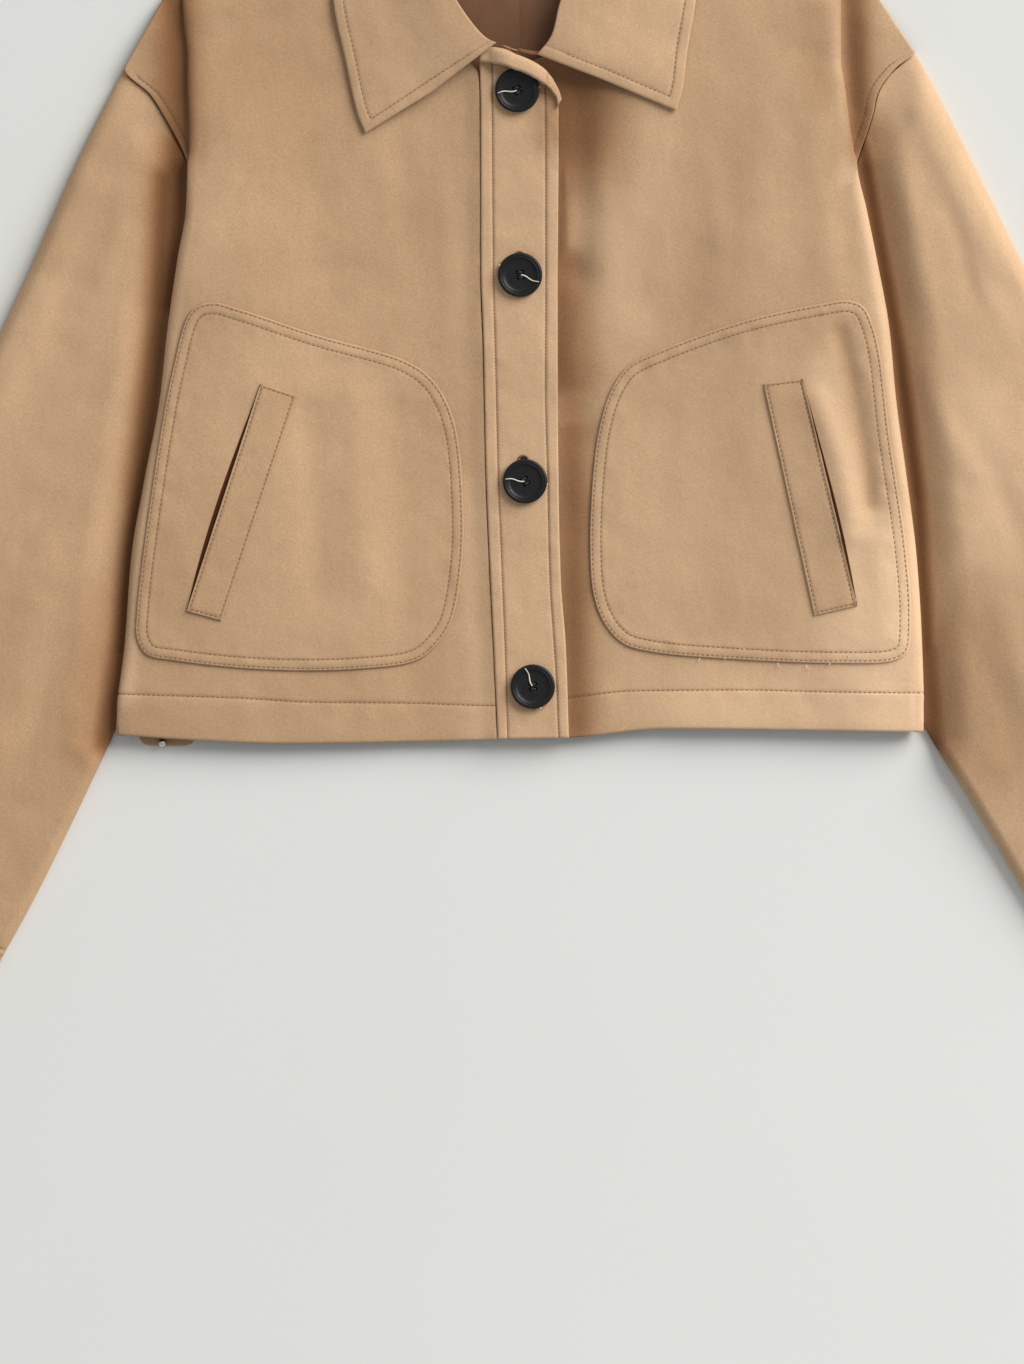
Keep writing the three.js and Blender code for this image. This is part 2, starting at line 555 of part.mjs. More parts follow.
const ARMHOLE_LEVELS = [209, 205, 201, 197, 193, 187, 180, 165, 150, 120, 90, 45, 0];
const SLEEVE_UPPER = [0, 0.02, 0.06, 0.13, 0.24, 0.36, 0.48, 0.6, 0.72, 0.83, 0.92, 0.97, 0.99, 1];
const SLEEVE_LOWER = [0.96, 0.75, 0.5, 0.25, 0.04];
const SLEEVE_ROWS = [
  0, 0.02, 0.06, 0.11, 0.17, 0.24, 0.31, 0.38, 0.45, 0.52, 0.58, 0.65, 0.73, 0.81, 0.89, 0.95, 1,
];

// A sleeve is a flattened tube. Its plan is spanned between the armhole, the cuff and its two folded edges.
function sleeve(side, outline) {
  const armhole = planCurve(ARMHOLE_LEVELS.map((y) => [side * (seamX(side, y) + SEAM_GAP), y]));
  const outer = planCurve(outline.outer);
  const inner = planCurve(outline.inner);
  const cuff = planCurve([outline.outer.at(-1), outline.inner.at(-1)]);
  const plan = (u, v) => {
    const along = outer.getPointAt(v).lerp(inner.getPointAt(v), u);
    const across = armhole.getPointAt(u).lerp(cuff.getPointAt(u), v);
    const corners = armhole.getPointAt(0).lerp(armhole.getPointAt(1), u)
      .lerp(cuff.getPointAt(0).lerp(cuff.getPointAt(1), u), v);
    return along.add(across).sub(corners);
  };
  const height = (u, v, p) => {
    const width = plan(0, v).distanceTo(plan(1, v));
    const below = Math.max(0, HEM_Y - p.y) * HOLLOW_FADE;
    const clear = smooth((Math.abs(p.x) - foldX(p.x, p.y) + below) / SLEEVE_SHADE);
    const upper = smooth((p.y - HOLLOW_SHOULDER.from) / HOLLOW_SHOULDER.over);
    const lower = smooth((HOLLOW_HEM.from - p.y) / HOLLOW_HEM.over);
    const hollow = UNDER_FLAP_Z + HOLLOW_STEP * (upper - lower);
    const crown = column(SLEEVE_CROWN, "z", v, "v") - CROWN_DROP * (2 * u - 1) ** 2 + foldLift(p.x, p.y);
    const top = lerp(hollow, Math.max(crown, hollow), clear);
    const round = (distance, radius) => Math.sqrt(1 - (1 - clamp01(distance / radius)) ** 2);
    const rounded = Math.min(round(u * width, SLEEVE_EDGE_R), round((1 - u) * width, INNER_EDGE_R));
    return lerp(SLEEVE_EDGE_Z, top, rounded);
  };
  const rows = SLEEVE_ROWS.map((v) => [
    ...SLEEVE_UPPER.map((u) => {
      const p = plan(u, v);
      return p.setZ(height(u, v, p));
    }),
    ...SLEEVE_LOWER.map((u) => plan(u, v)),
  ]);
  return wall(rows, CLOTH, { ring: true, flip: side < 0 });
}

const PLACKET_ACROSS = [0, 0.06, 0.22, 0.38, 0.54, 0.7, 0.84, 0.94, 1];
const PLACKET_ROWS = 22;
const PLACKET_END_Y = 205;
// The curl of the top edge, row by row: forward along Y, and up.
const LIP = [
  { forward: 1.2, rise: 1.4 },
  { forward: 1.9, rise: 3.6 },
  { forward: 1.4, rise: 5.8 },
  { forward: -0.6, rise: LIP_RISE },
  { forward: -LIP_REACH, rise: LIP_RISE + 0.5 },
];

// The placket lies on the left front beside the edge of the right front. Its top edge slopes and curls over.
function placket() {
  const rows = [];
  for (let i = 0; i <= PLACKET_ROWS; i += 1) {
    const up = i / PLACKET_ROWS;
    const level = lerp(HEM_Y, PLACKET_END_Y, up);
    const [right, left] = [column(CENTRE, "placketR", level), column(CENTRE, "placketL", level)];
    rows.push(
      PLACKET_ACROSS.map((share) => {
        const x = lerp(right, left, share);
        const y = lerp(HEM_Y + column(HEM_LINE, "dy", x, "x"), column(PLACKET_TOP, "y", x, "x"), up);
        return new THREE.Vector3(x, y, frontTop(x, y) + LAY_GAP + PLACKET_CLOTH);
      }),
    );
  }
  for (const { forward, rise } of LIP) {
    rows.push(
      rows[PLACKET_ROWS].map((p) => {
        const curl = lerp(0.3, 1, smooth((p.x + 22) / 14)) * lerp(1, 0.5, smooth((p.x - 15) / 8));
        return new THREE.Vector3(p.x, p.y + forward, p.z + rise * curl);
      }),
    );
  }
  return wall(rows, PLACKET_CLOTH);
}

const POCKET_STEPS = 44;
const pocketFace = (x, y) => frontTop(x, y) + LAY_GAP;
const weltFace = (x, y) => pocketFace(x, y) + POCKET_CLOTH + LAY_GAP;
const WELT_ROWS = 10;
const WELT_ACROSS = [0, 0.35, 0.7, 1];

function welt(corners) {
  const [a, b, c, d] = corners.map(([x, y]) => new THREE.Vector3(x, y, 0));
  const rows = [];
  for (let i = 0; i <= WELT_ROWS; i += 1) {
    const [outer, inner] = [a.clone().lerp(d, i / WELT_ROWS), b.clone().lerp(c, i / WELT_ROWS)];
    rows.push(WELT_ACROSS.map((s) => {
      const p = outer.clone().lerp(inner, s);
      return p.setZ(weltFace(p.x, p.y) + WELT_CLOTH);
    }));
  }
  return wall(rows, WELT_CLOTH, { flip: true });
}

// Points of one collar band: a smooth curve through the same point of every station.
function collarCurve(read, stations = COLLAR) {
  return new THREE.CatmullRomCurve3(stations.map(read), false, "centripetal");
}

// Height of what the leaf lies on: the fronts inside their outline, the table outside it.
function ground(x, y) {
  const inside = Math.min(foldX(x, y) - Math.abs(x), shoulderDistance(x, y), NECK_POINT_Y - y);
  return inside <= 0 ? 0 : frontTop(x, y) * smooth(inside / 4);
}

const COLLAR_STEPS = 34;
const ROLL_OVER_STAND = 2.2; // the leaf's fold lies this far above the stand's top edge
const curveRows = (curves) =>
  Array.from({ length: COLLAR_STEPS + 1 }, (_, i) => curves.map((curve) => curve.getPoint(i / COLLAR_STEPS)));

function collarStand() {
  const between = (share, bulge) => collarCurve((s) => {
    const x = lerp(s.neck[0], s.roll[0], share);
    const y = lerp(s.neck[1], s.roll[1], share);
    return new THREE.Vector3(x, y, lerp(s.neckZ, s.rollZ - 1, share) + bulge);
  }, [...COLLAR, STAND_END]);
  return wall(curveRows([between(0.12, 0), between(0.4, 0.5), between(0.66, 0.5), between(0.9, 0)]), CLOTH);
}

function collarLeaf() {
  const over = (p, lift) => ground(p[0], p[1]) + lift;
  const roll = (s) => new THREE.Vector3(s.roll[0], s.roll[1], s.rollZ + ROLL_OVER_STAND);
  const fall = (s) => new THREE.Vector3(s.fall[0], s.fall[1], over(s.fall, s.fallLift));
  const edge = (s) => new THREE.Vector3(s.edge[0], s.edge[1], over(s.edge, s.edgeLift));
  const up = (lift) => new THREE.Vector3(0, 0, lift);
  const mix = (a, b, share, lift) => collarCurve((s) => a(s).lerp(b(s), share).add(up(lift)));
  const rows = curveRows([
    mix(roll, fall, 0, 0),
    mix(roll, fall, 0.3, 1.0),
    mix(roll, fall, 0.65, 1.0),
    mix(fall, edge, 0, 0.4),
    mix(fall, edge, 0.4, 0.2),
    mix(fall, edge, 0.75, 0),
    mix(fall, edge, 1, 0),
  ]);
  return wall(rows, COLLAR_CLOTH, { flip: true });
}

// A manifold solid of a closed geometry, and back.
function toSolid(geometry) {
  const bare = geometry.clone();
  bare.deleteAttribute("normal");
  bare.deleteAttribute("uv");
  const merged = mergeVertices(bare, 1e-4);
  return new wasm.Manifold(
    new wasm.Mesh({
      numProp: 3,
      vertProperties: new Float32Array(merged.attributes.position.array),
      triVerts: new Uint32Array(merged.index.array),
    }),
  );
}

function toGeometry(solid) {
  const mesh = solid.getMesh();
  const geometry = new THREE.BufferGeometry();
  geometry.setAttribute("position", new THREE.BufferAttribute(mesh.vertProperties, 3));
  geometry.setIndex(new THREE.BufferAttribute(mesh.triVerts, 1));
  return geometry;
}

// Coat button: a disc with a raised rim, a dished middle and four thread holes.
function button() {
  const inner = BUTTON_R - BUTTON_RIM;
  const profile = [
    [0, 0], [BUTTON_R - 2, 0], [BUTTON_R, 1.2],
    [BUTTON_R, BUTTON_THICK - 0.8], [BUTTON_R - 0.7, BUTTON_THICK],
    [inner, BUTTON_THICK], [inner - 1.6, BUTTON_THICK - 1.1], [0, BUTTON_THICK - 1.3],
  ].map(([r, z]) => new THREE.Vector2(r, z));
  const disc = new THREE.LatheGeometry(profile, 28).rotateX(Math.PI / 2);
  const solid = toSolid(disc);
  const upright = solid.volume() < 0 ? toSolid(disc.scale(1, 1, -1)) : solid;
  return [45, 135, 225, 315].reduce((body, angle) => {
    const a = THREE.MathUtils.degToRad(angle);
    const hole = new THREE.CylinderGeometry(BUTTON_HOLE_R, BUTTON_HOLE_R, 4 * BUTTON_THICK, 8)
      .rotateX(Math.PI / 2)
      .translate(BUTTON_HOLE_OFFSET * Math.cos(a), BUTTON_HOLE_OFFSET * Math.sin(a), 0);
    return body.subtract(toSolid(hole));
  }, upright);
}

const group = new THREE.Group();
group.name = "suede_jacket";

function add(name, geometry, material) {
  const mesh = new THREE.Mesh(geometry, material);
  mesh.name = name;
  group.add(mesh);
  return mesh;
}

add("back", back(), suede());
add("front_right", front(-1), suede());
add("front_left", front(1), suede());
add("sleeve_right", sleeve(-1, SLEEVE_R), suede());
add("sleeve_left", sleeve(1, SLEEVE_L), suede());
add("placket", placket(), suede());
add("collar_stand", collarStand(), suede());
add("collar_leaf", collarLeaf(), suede());
add("pocket_right", patch(POCKET_R, POCKET_STEPS, pocketFace, POCKET_CLOTH), suede());
add("pocket_left", patch(POCKET_L, POCKET_STEPS, pocketFace, POCKET_CLOTH), suede());
add("welt_right", welt(WELT_R), suede());
add("welt_left", welt(WELT_L), suede());

BUTTONS.forEach(({ x, y }, i) => {
  const mesh = add(`button_${i + 1}`, toGeometry(button()), black());
  mesh.position.set(x, y, frontTop(x, y) + LAY_GAP + PLACKET_CLOTH + BUTTON_SHANK);
});

add("hem_tab", plate(HEM_TAB, 0, CLOTH), suede());
const stud = add("tab_stud", new THREE.SphereGeometry(STUD_R, 16, 10), silver());
stud.position.set(STUD.x, STUD.y, CLOTH + STUD.gap + STUD_R);

export default group;
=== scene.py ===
"""Suede jacket laid flat: the looks. Lengths are millimetres until make() turns them into metres.

Right and left are the wearer's; r is the -X side. Every cloth piece is a grid of points on its outer
face, which skin() closes into a thin wall with rounded rims.
"""
from types import SimpleNamespace

import bpy
import numpy as np
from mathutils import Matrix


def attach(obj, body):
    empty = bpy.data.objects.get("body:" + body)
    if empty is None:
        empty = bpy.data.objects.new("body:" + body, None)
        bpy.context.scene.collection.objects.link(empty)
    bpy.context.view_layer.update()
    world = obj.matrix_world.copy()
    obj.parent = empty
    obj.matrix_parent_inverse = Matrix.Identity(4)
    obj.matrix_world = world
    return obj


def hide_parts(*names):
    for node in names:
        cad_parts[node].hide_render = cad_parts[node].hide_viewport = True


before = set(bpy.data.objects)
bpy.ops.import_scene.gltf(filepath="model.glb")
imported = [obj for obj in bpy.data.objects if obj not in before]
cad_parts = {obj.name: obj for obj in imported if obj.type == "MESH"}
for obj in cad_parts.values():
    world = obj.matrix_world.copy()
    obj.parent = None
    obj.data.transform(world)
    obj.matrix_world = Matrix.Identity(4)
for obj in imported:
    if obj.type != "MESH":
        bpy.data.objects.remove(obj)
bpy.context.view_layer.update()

bl_info = {
    "name": "Suede jacket",
    "version": (1, 0, 0),
    "blender": (4, 5, 0),
    "location": "View3D > Sidebar > Jacket",
    "description": "Builds the cloth, sewing, buttons and stage of a suede jacket laid flat",
    "category": "Object",
}

MM = 0.001


def table(columns, rows):
    """Named columns of a short table, as a dictionary of arrays."""
    return dict(zip(columns.split(), np.array(rows, float).T))


# Outline and height of the body, level by level: fold is where the front turns under, seam where it is sewn.
BODY = table("y fold_r seam_r fold_l seam_l rise", [
    (-214, 254.5, 254.5, 254.2, 254.2, 2),
    (-190, 253.0, 245.2, 254.3, 246.0, 4),
    (-150, 248.7, 227.4, 253.2, 227.8, 6.5),
    (-100, 245.0, 204.6, 250.0, 205.0, 8.5),
    (-50, 236.5, 182.3, 243.8, 182.5, 9.5),
    (0, 227.0, 160.0, 237.0, 160.0, 9.5),
    (45, 222.0, 176.5, 232.7, 177.5, 9),
    (90, 215.5, 190.5, 224.6, 192.5, 8),
    (120, 210.5, 200.0, 218.5, 202.5, 6),
    (150, 209.5, 209.5, 212.4, 212.4, 4.5),
    (180, 225.2, 225.2, 222.5, 222.5, 3.5),
    (193, 233.7, 233.7, 225.5, 225.5, 3),
    (209, 249.8, 249.8, 236.5, 236.5, 2.5),
    (212, 248.1, 248.1, 240.0, 240.0, 2.4),
    (219, 244.1, 244.1, 249.0, 249.0, 2.2),
    (222, 242.4, 242.4, 247.0, 247.0, 2.1),
    (236, 234.5, 234.5, 237.5, 237.5, 1.6),
    (252, 225.5, 225.5, 227.0, 227.0, 1),
    (271, 207.9, 207.9, 209.0, 209.0, 0.5),
    (315, 92.0, 92.0, 92.0, 92.0, 0),
])
CENTRE = table("y placket_r placket_l front_r front_l", [
    (-214, -13.9, 30.9, -14.0, -6),
    (-155, -16.7, 29.0, -16.8, -9),
    (-110, -18.9, 25.8, -19.0, -11),
    (-50, -21.4, 24.4, -21.5, -14),
    (27, -23.0, 23.9, -23.1, -16),
    (75, -24.6, 23.9, -24.7, -17),
    (171, -24.8, 24.4, -24.9, -17),
    (205, -25.6, 24.4, -25.7, -14),
    (212, -25.6, 24.4, -30, 2),
    (222, -25.6, 24.4, -40, 28),
    (236, -25.6, 24.4, -52, 47),
    (255, -25.6, 24.4, -65, 63),
    (285, -25.6, 24.4, -78, 78),
    (315, -25.6, 24.4, -85, 85),
])
# Where the body folds forward over the upper armhole: the fold's place on each side and how deep it drops.
LEDGE = table("y r l drop", [
    (150, 209.5, 212.4, 3.4), (157, 208.4, 210.6, 5.5), (170, 208.4, 208.4, 6.8),
    (201, 209.6, 204.4, 6.8), (214, 209.6, 202.4, 6.8), (240, 212, 202.4, 5.5), (268, 214, 202.6, 2),
])
# Beside the placket the under front dips and rises again over this width.
VALLEY = table("y wide deep", [
    (-214, 8, 0), (-150, 12, 1.6), (-60, 22, 2.2), (-12, 22, 2.8), (7, 14, 3.4), (26, 9, 3.6), (45, 11, 3.6),
    (64, 14, 3.2), (82, 16, 2.6), (101, 8, 2.8), (120, 10, 3.6), (139, 16, 4.2), (158, 31, 4.6),
    (177, 42, 4.8), (205, 45, 4.8), (230, 40, 2), (315, 40, 0),
])
MIDDLE = table("y z", [(-214, 10.2), (-100, 9.4), (60, 9.6), (180, 10.4), (315, 9.0)])
HEM_LINE = table("x dy", [
    (-255, 2.6), (-205, -0.8), (-150, -2.7), (-72, -1.5), (0, 0.6), (31, 1.0), (93, 6.6), (198, 5.3),
    (255, 4.5),
])
HEM_STITCHING = table("x y", [
    (-252, -185.2), (-178, -187.7), (-130, -190.3), (-72, -190.9), (-16, -192.5), (31, -187.7), (71, -183.3),
    (141, -182.7), (198, -184.0), (254, -184.6),
])
PLACKET_TOP = table("x y", [
    (-25.6, 219), (-10.7, 217), (-2.8, 213.2), (5, 210), (13.9, 205), (17.6, 201), (21.4, 195.9), (24.4, 187),
])
PLACKET_STITCHING = table("y right left", [
    (-214, -7.6, 24.6), (-170, -8.8, 22.7), (-110, -11.2, 18.9), (-50, -13.6, 17.6), (12, -15.1, 16.1),
    (60, -16.4, 16.4), (124, -17.0, 16.4), (219, -17.6, 15.8),
])
# How the top edge of the placket curls: forward along Y, and up.
LIP = table("turn forward rise", [
    (0, 0, 0), (1, 1.2, 1.4), (2, 1.9, 3.6), (3, 1.4, 5.8), (4, -0.6, 6.6), (5, -6.2, 7.1),
])

# Soft ridges (positive) and troughs: from, to, sideways bow, half width and height.
FOLDS = table("x0 y0 x1 y1 bow half lift", [
    (38, 205, 36, 80, 0, 11, -3.0),
    (36, 80, 40, -25, 0, 11, -2.0),
    (-182, 165, -178, 70, 0, 26, 2.6),
    (-135, 190, -120, 80, 0, 20, -1.2),
    (74, 190, 84, 80, 0, 16, 1.6),
    (138, 205, 106, 66, 4, 16, -1.0),
    (160, 190, 146, 66, 0, 18, 1.0),
    (186, 170, 196, 80, 0, 14, 1.4),
    (186, 0, 208, -84, 4, 9, 2.6),
    (201, 42, 219, -66, 3, 6, -2.1),
    (224, -90, 230, -150, 0, 11, 1.4),
    (-104, 0, -98, -112, 0, 12, 1.5),
    (-133, -8, -127, -118, 0, 11, -1.3),
    (-79, -8, -74, -132, 0, 11, -1.1),
    (140, 40, 150, -40, 0, 20, 1.4),
    (-120, -60, -100, -150, 0, 30, 1.2),
    (-60, -180, -64, -214, 0, 22, -1.0),
    (110, -180, 112, -208, 0, 26, 1.4),
    (-270, 130, -330, 0, 0, 14, 1.8),
    (-300, -60, -375, -250, 0, 22, 1.6),
    (252, 180, 300, 85, 0, 10, 2.2),
    (238, 165, 250, 70, 0, 10, 1.6),
    (310, -30, 385, -230, 0, 24, 1.8),
])
CREASES = table("x0 y0 x1 y1 bow half lift", [
    (-205, 140, -150, 196, 6, 7, 0.9),
    (-196, 110, -168, 150, -5, 6, -0.8),
    (-210, 60, -176, 132, 8, 9, 0.8),
    (-96, 196, -88, 96, 5, 9, 0.7),
    (-70, 180, -62, 70, -6, 8, -0.6),
    (-52, 150, -46, 30, 4, 7, 0.6),
    (-44, -60, -40, -180, -3, 8, -0.5),
    (-150, 70, -96, 84, 5, 7, -0.6),
    (-190, 40, -160, -20, 6, 12, 0.9),
    (-226, -60, -206, -140, 5, 9, 0.8),
    (-84, -40, -78, -120, 4, 10, 0.6),
    (-176, -176, -170, -212, 0, 10, 0.6),
    (-110, -174, -114, -212, 2, 8, -0.6),
    (-34, -150, -30, -205, 2, 7, 0.5),
    (56, 190, 60, 60, -5, 9, 0.9),
    (80, 170, 74, 50, 4, 8, -0.7),
    (160, 190, 168, 110, 6, 12, -0.4),
    (205, 140, 212, 60, -4, 8, -0.8),
    (116, 160, 124, 60, 5, 7, 0.7),
    (60, 10, 56, -90, 4, 9, 0.7),
    (100, 10, 88, -80, -6, 11, -0.6),
    (214, -60, 226, -140, -4, 9, -0.7),
    (120, -60, 132, -150, 6, 13, 0.6),
    (176, -172, 182, -208, 2, 9, -0.6),
    (60, -160, 52, -206, -2, 8, 0.6),
    (150, 230, 120, 280, 5, 10, 0.7),
    (-150, 235, -120, 282, -4, 10, 0.7),
    (200, 215, 150, 236, 5, 9, -0.6),
    (-210, 218, -160, 240, 5, 9, -0.6),
])
SLEEVE_CREASES = table("x0 y0 x1 y1 bow half lift", [
    (-250, 150, -268, 60, 6, 8, 1.1),
    (-262, 110, -296, 30, -7, 7, -1.1),
    (-240, 40, -300, -50, 10, 9, 1.2),
    (-250, -10, -320, -110, -8, 9, -1.1),
    (-318, 30, -352, -50, 6, 9, 1.0),
    (-300, -100, -340, -200, 9, 10, 1.2),
    (-276, -140, -316, -250, -7, 9, -1.2),
    (-330, -210, -372, -300, 6, 9, 1.1),
    (-380, -120, -430, -220, -8, 11, -0.9),
    (-410, -200, -450, -280, 5, 9, 0.8),
    (264, 130, 286, 60, 5, 7, -1.2),
    (280, 110, 304, 50, -4, 6, 1.2),
    (250, 40, 300, -60, -9, 9, 1.2),
    (262, 0, 322, -110, 8, 9, -1.1),
    (322, 30, 352, -60, -6, 9, -1.0),
    (300, -110, 342, -210, -9, 10, 1.2),
    (282, -150, 318, -250, 7, 9, -1.2),
    (338, -220, 372, -300, -6, 9, 1.0),
    (388, -100, 436, -210, 8, 11, -0.9),
])
# On the side that lies on the table the cloth is lifted a little along these.
UNDER_CREASES = table("x0 y0 x1 y1 bow half lift", [
    (-90, 250, -120, 60, 12, 9, 1.3),
    (100, 240, 140, 40, -10, 10, 1.2),
    (-20, 120, -50, -60, 8, 8, 1.1),
    (40, 60, 30, -140, -7, 9, 1.2),
    (-150, -20, -190, -190, 9, 10, 1.3),
    (150, -60, 180, -200, -8, 9, 1.1),
    (-60, -110, -80, -205, 5, 8, 1.0),
    (90, -120, 96, -208, -4, 8, 1.0),
    (-270, 100, -350, -60, 10, 10, 1.3),
    (-330, -120, -400, -270, -9, 9, 1.2),
    (276, 90, 340, -40, -9, 9, 1.3),
    (330, -120, 410, -250, 9, 10, 1.2),
])

SLEEVE_OUTER = {
    "r": [(-250.2, 209.2), (-277.5, 155), (-306.8, 88.2), (-327.6, 43.5), (-408, -127.5), (-488, -299)],
    "l": [(249.3, 219.2), (270.8, 178.9), (301.8, 117.2), (317.5, 85), (407, -97), (495, -278)],
}
SLEEVE_INNER = {
    "r": [(-160.4, 0), (-209, -104), (-256.4, -211), (-280.8, -263), (-306.6, -315), (-335.2, -367)],
    "l": [(160.4, 0), (209, -104), (256.2, -208), (283.2, -251.4), (317.5, -309.1), (348.2, -359.4)],
}
SLEEVE_CROWN = table("v z", [(0, 12.5), (0.25, 16), (0.6, 15), (1, 11.5)])
ARMHOLE_TOP = {"r": 209, "l": 219}
ARMHOLE_LEVELS = (205, 201, 197, 193, 187, 180, 165, 150, 120, 90, 45, 0)

POCKETS = {
    "r": [
        (-206.6, 56.1), (-194, 61.1), (-177.7, 57.3), (-129.8, 41.6), (-71.8, 24.6), (-56.1, 13.9),
        (-46, -1.3), (-39.7, -20.8), (-35.9, -60), (-36.2, -100), (-42.8, -138.6), (-50.4, -151.8),
        (-64.3, -163.8), (-100.8, -169.5), (-160, -170), (-216.7, -164.4), (-235, -160.5), (-241.3, -149.9),
        (-241.4, -136), (-232.8, -64.9), (-218.3, 19.5),
    ],
    "l": [
        (206.8, 62.4), (216.1, 58.6), (222.2, 46.5), (226.8, 27.7), (232.5, -20.8), (243.2, -93.9),
        (246.2, -136), (243.8, -158.8), (235.5, -164.3), (200, -165.9), (141.1, -163.8), (83.2, -158.8),
        (65.5, -153.8), (54.2, -142.4), (46.6, -124), (44.1, -90), (46.6, -40.3), (50.4, -15.1),
        (57.4, 6.3), (67.5, 20.8), (88.8, 31.5), (141.1, 49.8), (189, 60.2),
    ],
}
# Corners of the welts: upper and lower end of the slit side, then of the other side.
WELTS = {
    "r": [(-163.2, 10.1), (-209.8, -133.2), (-140.5, 2.5), (-187.7, -139.2)],
    "l": [(177.7, 13.2), (212.3, -129.8), (153.1, 10.1), (185.2, -136.1)],
}
# Place of each button, where its thread end and knot point, and how far it is turned, in degrees.
BUTTONS = table("x y tail bead turn", [
    (-1.7, 194.9, 188, 8, 20), (0.1, 78.7, -22, 155, 8), (3.2, -51.3, 173, -8, 30),
    (8.1, -180.6, 112, 290, 5),
])

# Loose thread ends at the lower edge of the left pocket: place, turn and length.
FRAYS = table("x y turn long", [
    (114, -162.5, 200, 3.6), (141, -158.6, 60, 2.4), (162.6, -165.0, 250, 4.0), (180.3, -166.2, 265, 5.0),
    (205.6, -164.6, 30, 4.2), (196, -165.6, 190, 2.4), (128, -163.0, 330, 2.2),
])

COLLAR = table("neck_x neck_y neck_z roll_x roll_y roll_z fall_x fall_y fall_z edge_x edge_y edge_z", [
    (-25, 223, 16, -15, 224.5, 20, -56, 193.5, 5.6, -97.5, 167.8, 3.0),
    (-37, 224, 13.2, -22.7, 229, 18, -62, 209, 6.0, -102.5, 180, 3.0),
    (-60, 248, 12.8, -40.3, 252, 19, -75, 236, 6.4, -110.2, 214, 3.0),
    (-76, 282, 12.4, -55, 284, 20.5, -86, 270, 7, -117.8, 252, 3.8),
    (-84.5, 312, 11.8, -64, 314, 20.5, -92, 316, 9, -118, 304, 6),
    (-74, 318.5, 8, -58, 336, 17, -86, 343, 7, -100, 326, 1.6),
    (-42, 306, 5.6, -34, 350, 12, -42, 358, 5, -56, 320, 1.1),
    (0, 301, 5.2, 0, 353, 11, 0, 361, 4.6, 0, 314, 1.1),
    (42, 306, 5.6, 34, 350, 12, 42, 358, 5, 56, 320, 1.1),
    (74, 318.5, 8, 58, 336, 17, 86, 343, 7, 100, 326, 1.6),
    (84.5, 312, 11.8, 60, 312, 20.5, 90, 313, 9, 116, 304, 6),
    (76, 282, 12.4, 42, 284, 20.5, 78, 266, 7, 111, 252, 3.2),
    (58, 248, 12.8, 25.8, 252, 19, 66, 233, 6.4, 105.5, 219, 3.0),
    (40, 229, 13.2, 19.6, 229, 17.6, 60, 213, 6.0, 102.5, 195, 3.0),
    (22, 219, 12.9, 10.7, 217.3, 16, 53, 201, 5.0, 98.5, 182, 3.0),
])
STAND_END = {"neck": (-4, 218.5, 13), "roll": (-12.5, 224.5, 15.5)}

# Painted light (positive) and painted shade: lines along which the colour is lightened where light falls or
# darkened where shade lies beside folds and in hollows; from, to, half width, change.
PAINTED_SHADE_LINES = {
    "front_left": table("x0 y0 x1 y1 half change", [
        (34, 190, 33, 168, 38, -0.58),
        (30, 150, 30, 60, 14, -0.14),
        (26.5, 160, 26.5, 60, 5, -0.50),
        (28, 84, 31, 12, 15, -0.50),
        (31, 12, 33, -20, 11, -0.38),
        (33, -20, 36, -206, 12, -0.50),
        (76, 170, 70, 60, 28, 0.12),
        (112, 190, 102, 60, 26, -0.07),
        (187, 245, 191, 190, 15, -0.14),
        (199, 262, 206, 140, 5, 0.24),
        (214, 140, 250, -100, 5, 0.24),
        (232, -100, 240, -230, 36, 0.55),
        (209, 262, 214, 160, 12, -0.56),
        (110, -198, 240, -198, 26, 0.22),
    ]),
    "pocket_left": table("x0 y0 x1 y1 half change", [
        (190, 20, 212, -80, 11, 0.22),
        (230, -105, 236, -190, 34, 0.55),
        (202, 42, 221, -62, 7, -0.14),
        (80, -100, 160, -40, 60, 0.05),
    ]),
    "front_right": table("x0 y0 x1 y1 half change", [
        (-150, 270, -150, 190, 45, -0.05),
        (-196, 150, -190, 60, 18, 0.06),
        (-217, 268, -217, 160, 14, -0.56),
        (-34, -60, -26, -214, 13, 0.12),
        (-214, 110, -248, -190, 5, 0.20),
    ]),
    "pocket_right": table("x0 y0 x1 y1 half change", [
        (-130, 10, -110, -120, 60, 0.07),
        (-200, -30, -225, -140, 20, 0.03),
    ]),
    "sleeve_left": table("x0 y0 x1 y1 half change", [
        (216, 160, 239, 31, 7, -0.78),
        (239, 31, 251, -63, 7, -0.80),
        (251, -63, 257, -158, 7, -0.76),
        (257, -158, 262, -216, 10, -0.70),
        (218, 168, 229, 95, 16, -0.42),
        (229, 95, 241, 10, 18, -0.36),
        (241, 10, 256, -150, 20, -0.30),
        (256, -150, 262, -216, 26, -0.40),
        (280, -130, 300, -230, 30, -0.20),
        (256, 190, 318, 40, 14, 0.10),
        (290, 0, 302, -90, 20, 0.14),
        (330, 40, 420, -140, 30, 0.06),
    ]),
    "sleeve_right": table("x0 y0 x1 y1 half change", [
        (-215, 160, -222, 60, 13, -0.66),
        (-223, 140, -227, 60, 11, -0.66),
        (-227, 60, -241, -63, 10, -0.64),
        (-241, -63, -252.5, -158, 9, -0.66),
        (-252.5, -158, -262, -216, 10, -0.60),
        (-254, -130, -272, -216, 20, -0.22),
        (-300, 60, -360, -60, 40, 0.09),
    ]),
    "collar_leaf": table("x0 y0 x1 y1 half change", [
        (58, 225, 96, 250, 40, 0.08),
        (-62, 215, -80, 240, 20, 0.05),
    ]),
    "placket": table("x0 y0 x1 y1 half change", [
        (18, 190, 21, 168, 12, -0.26),
    ]),
}

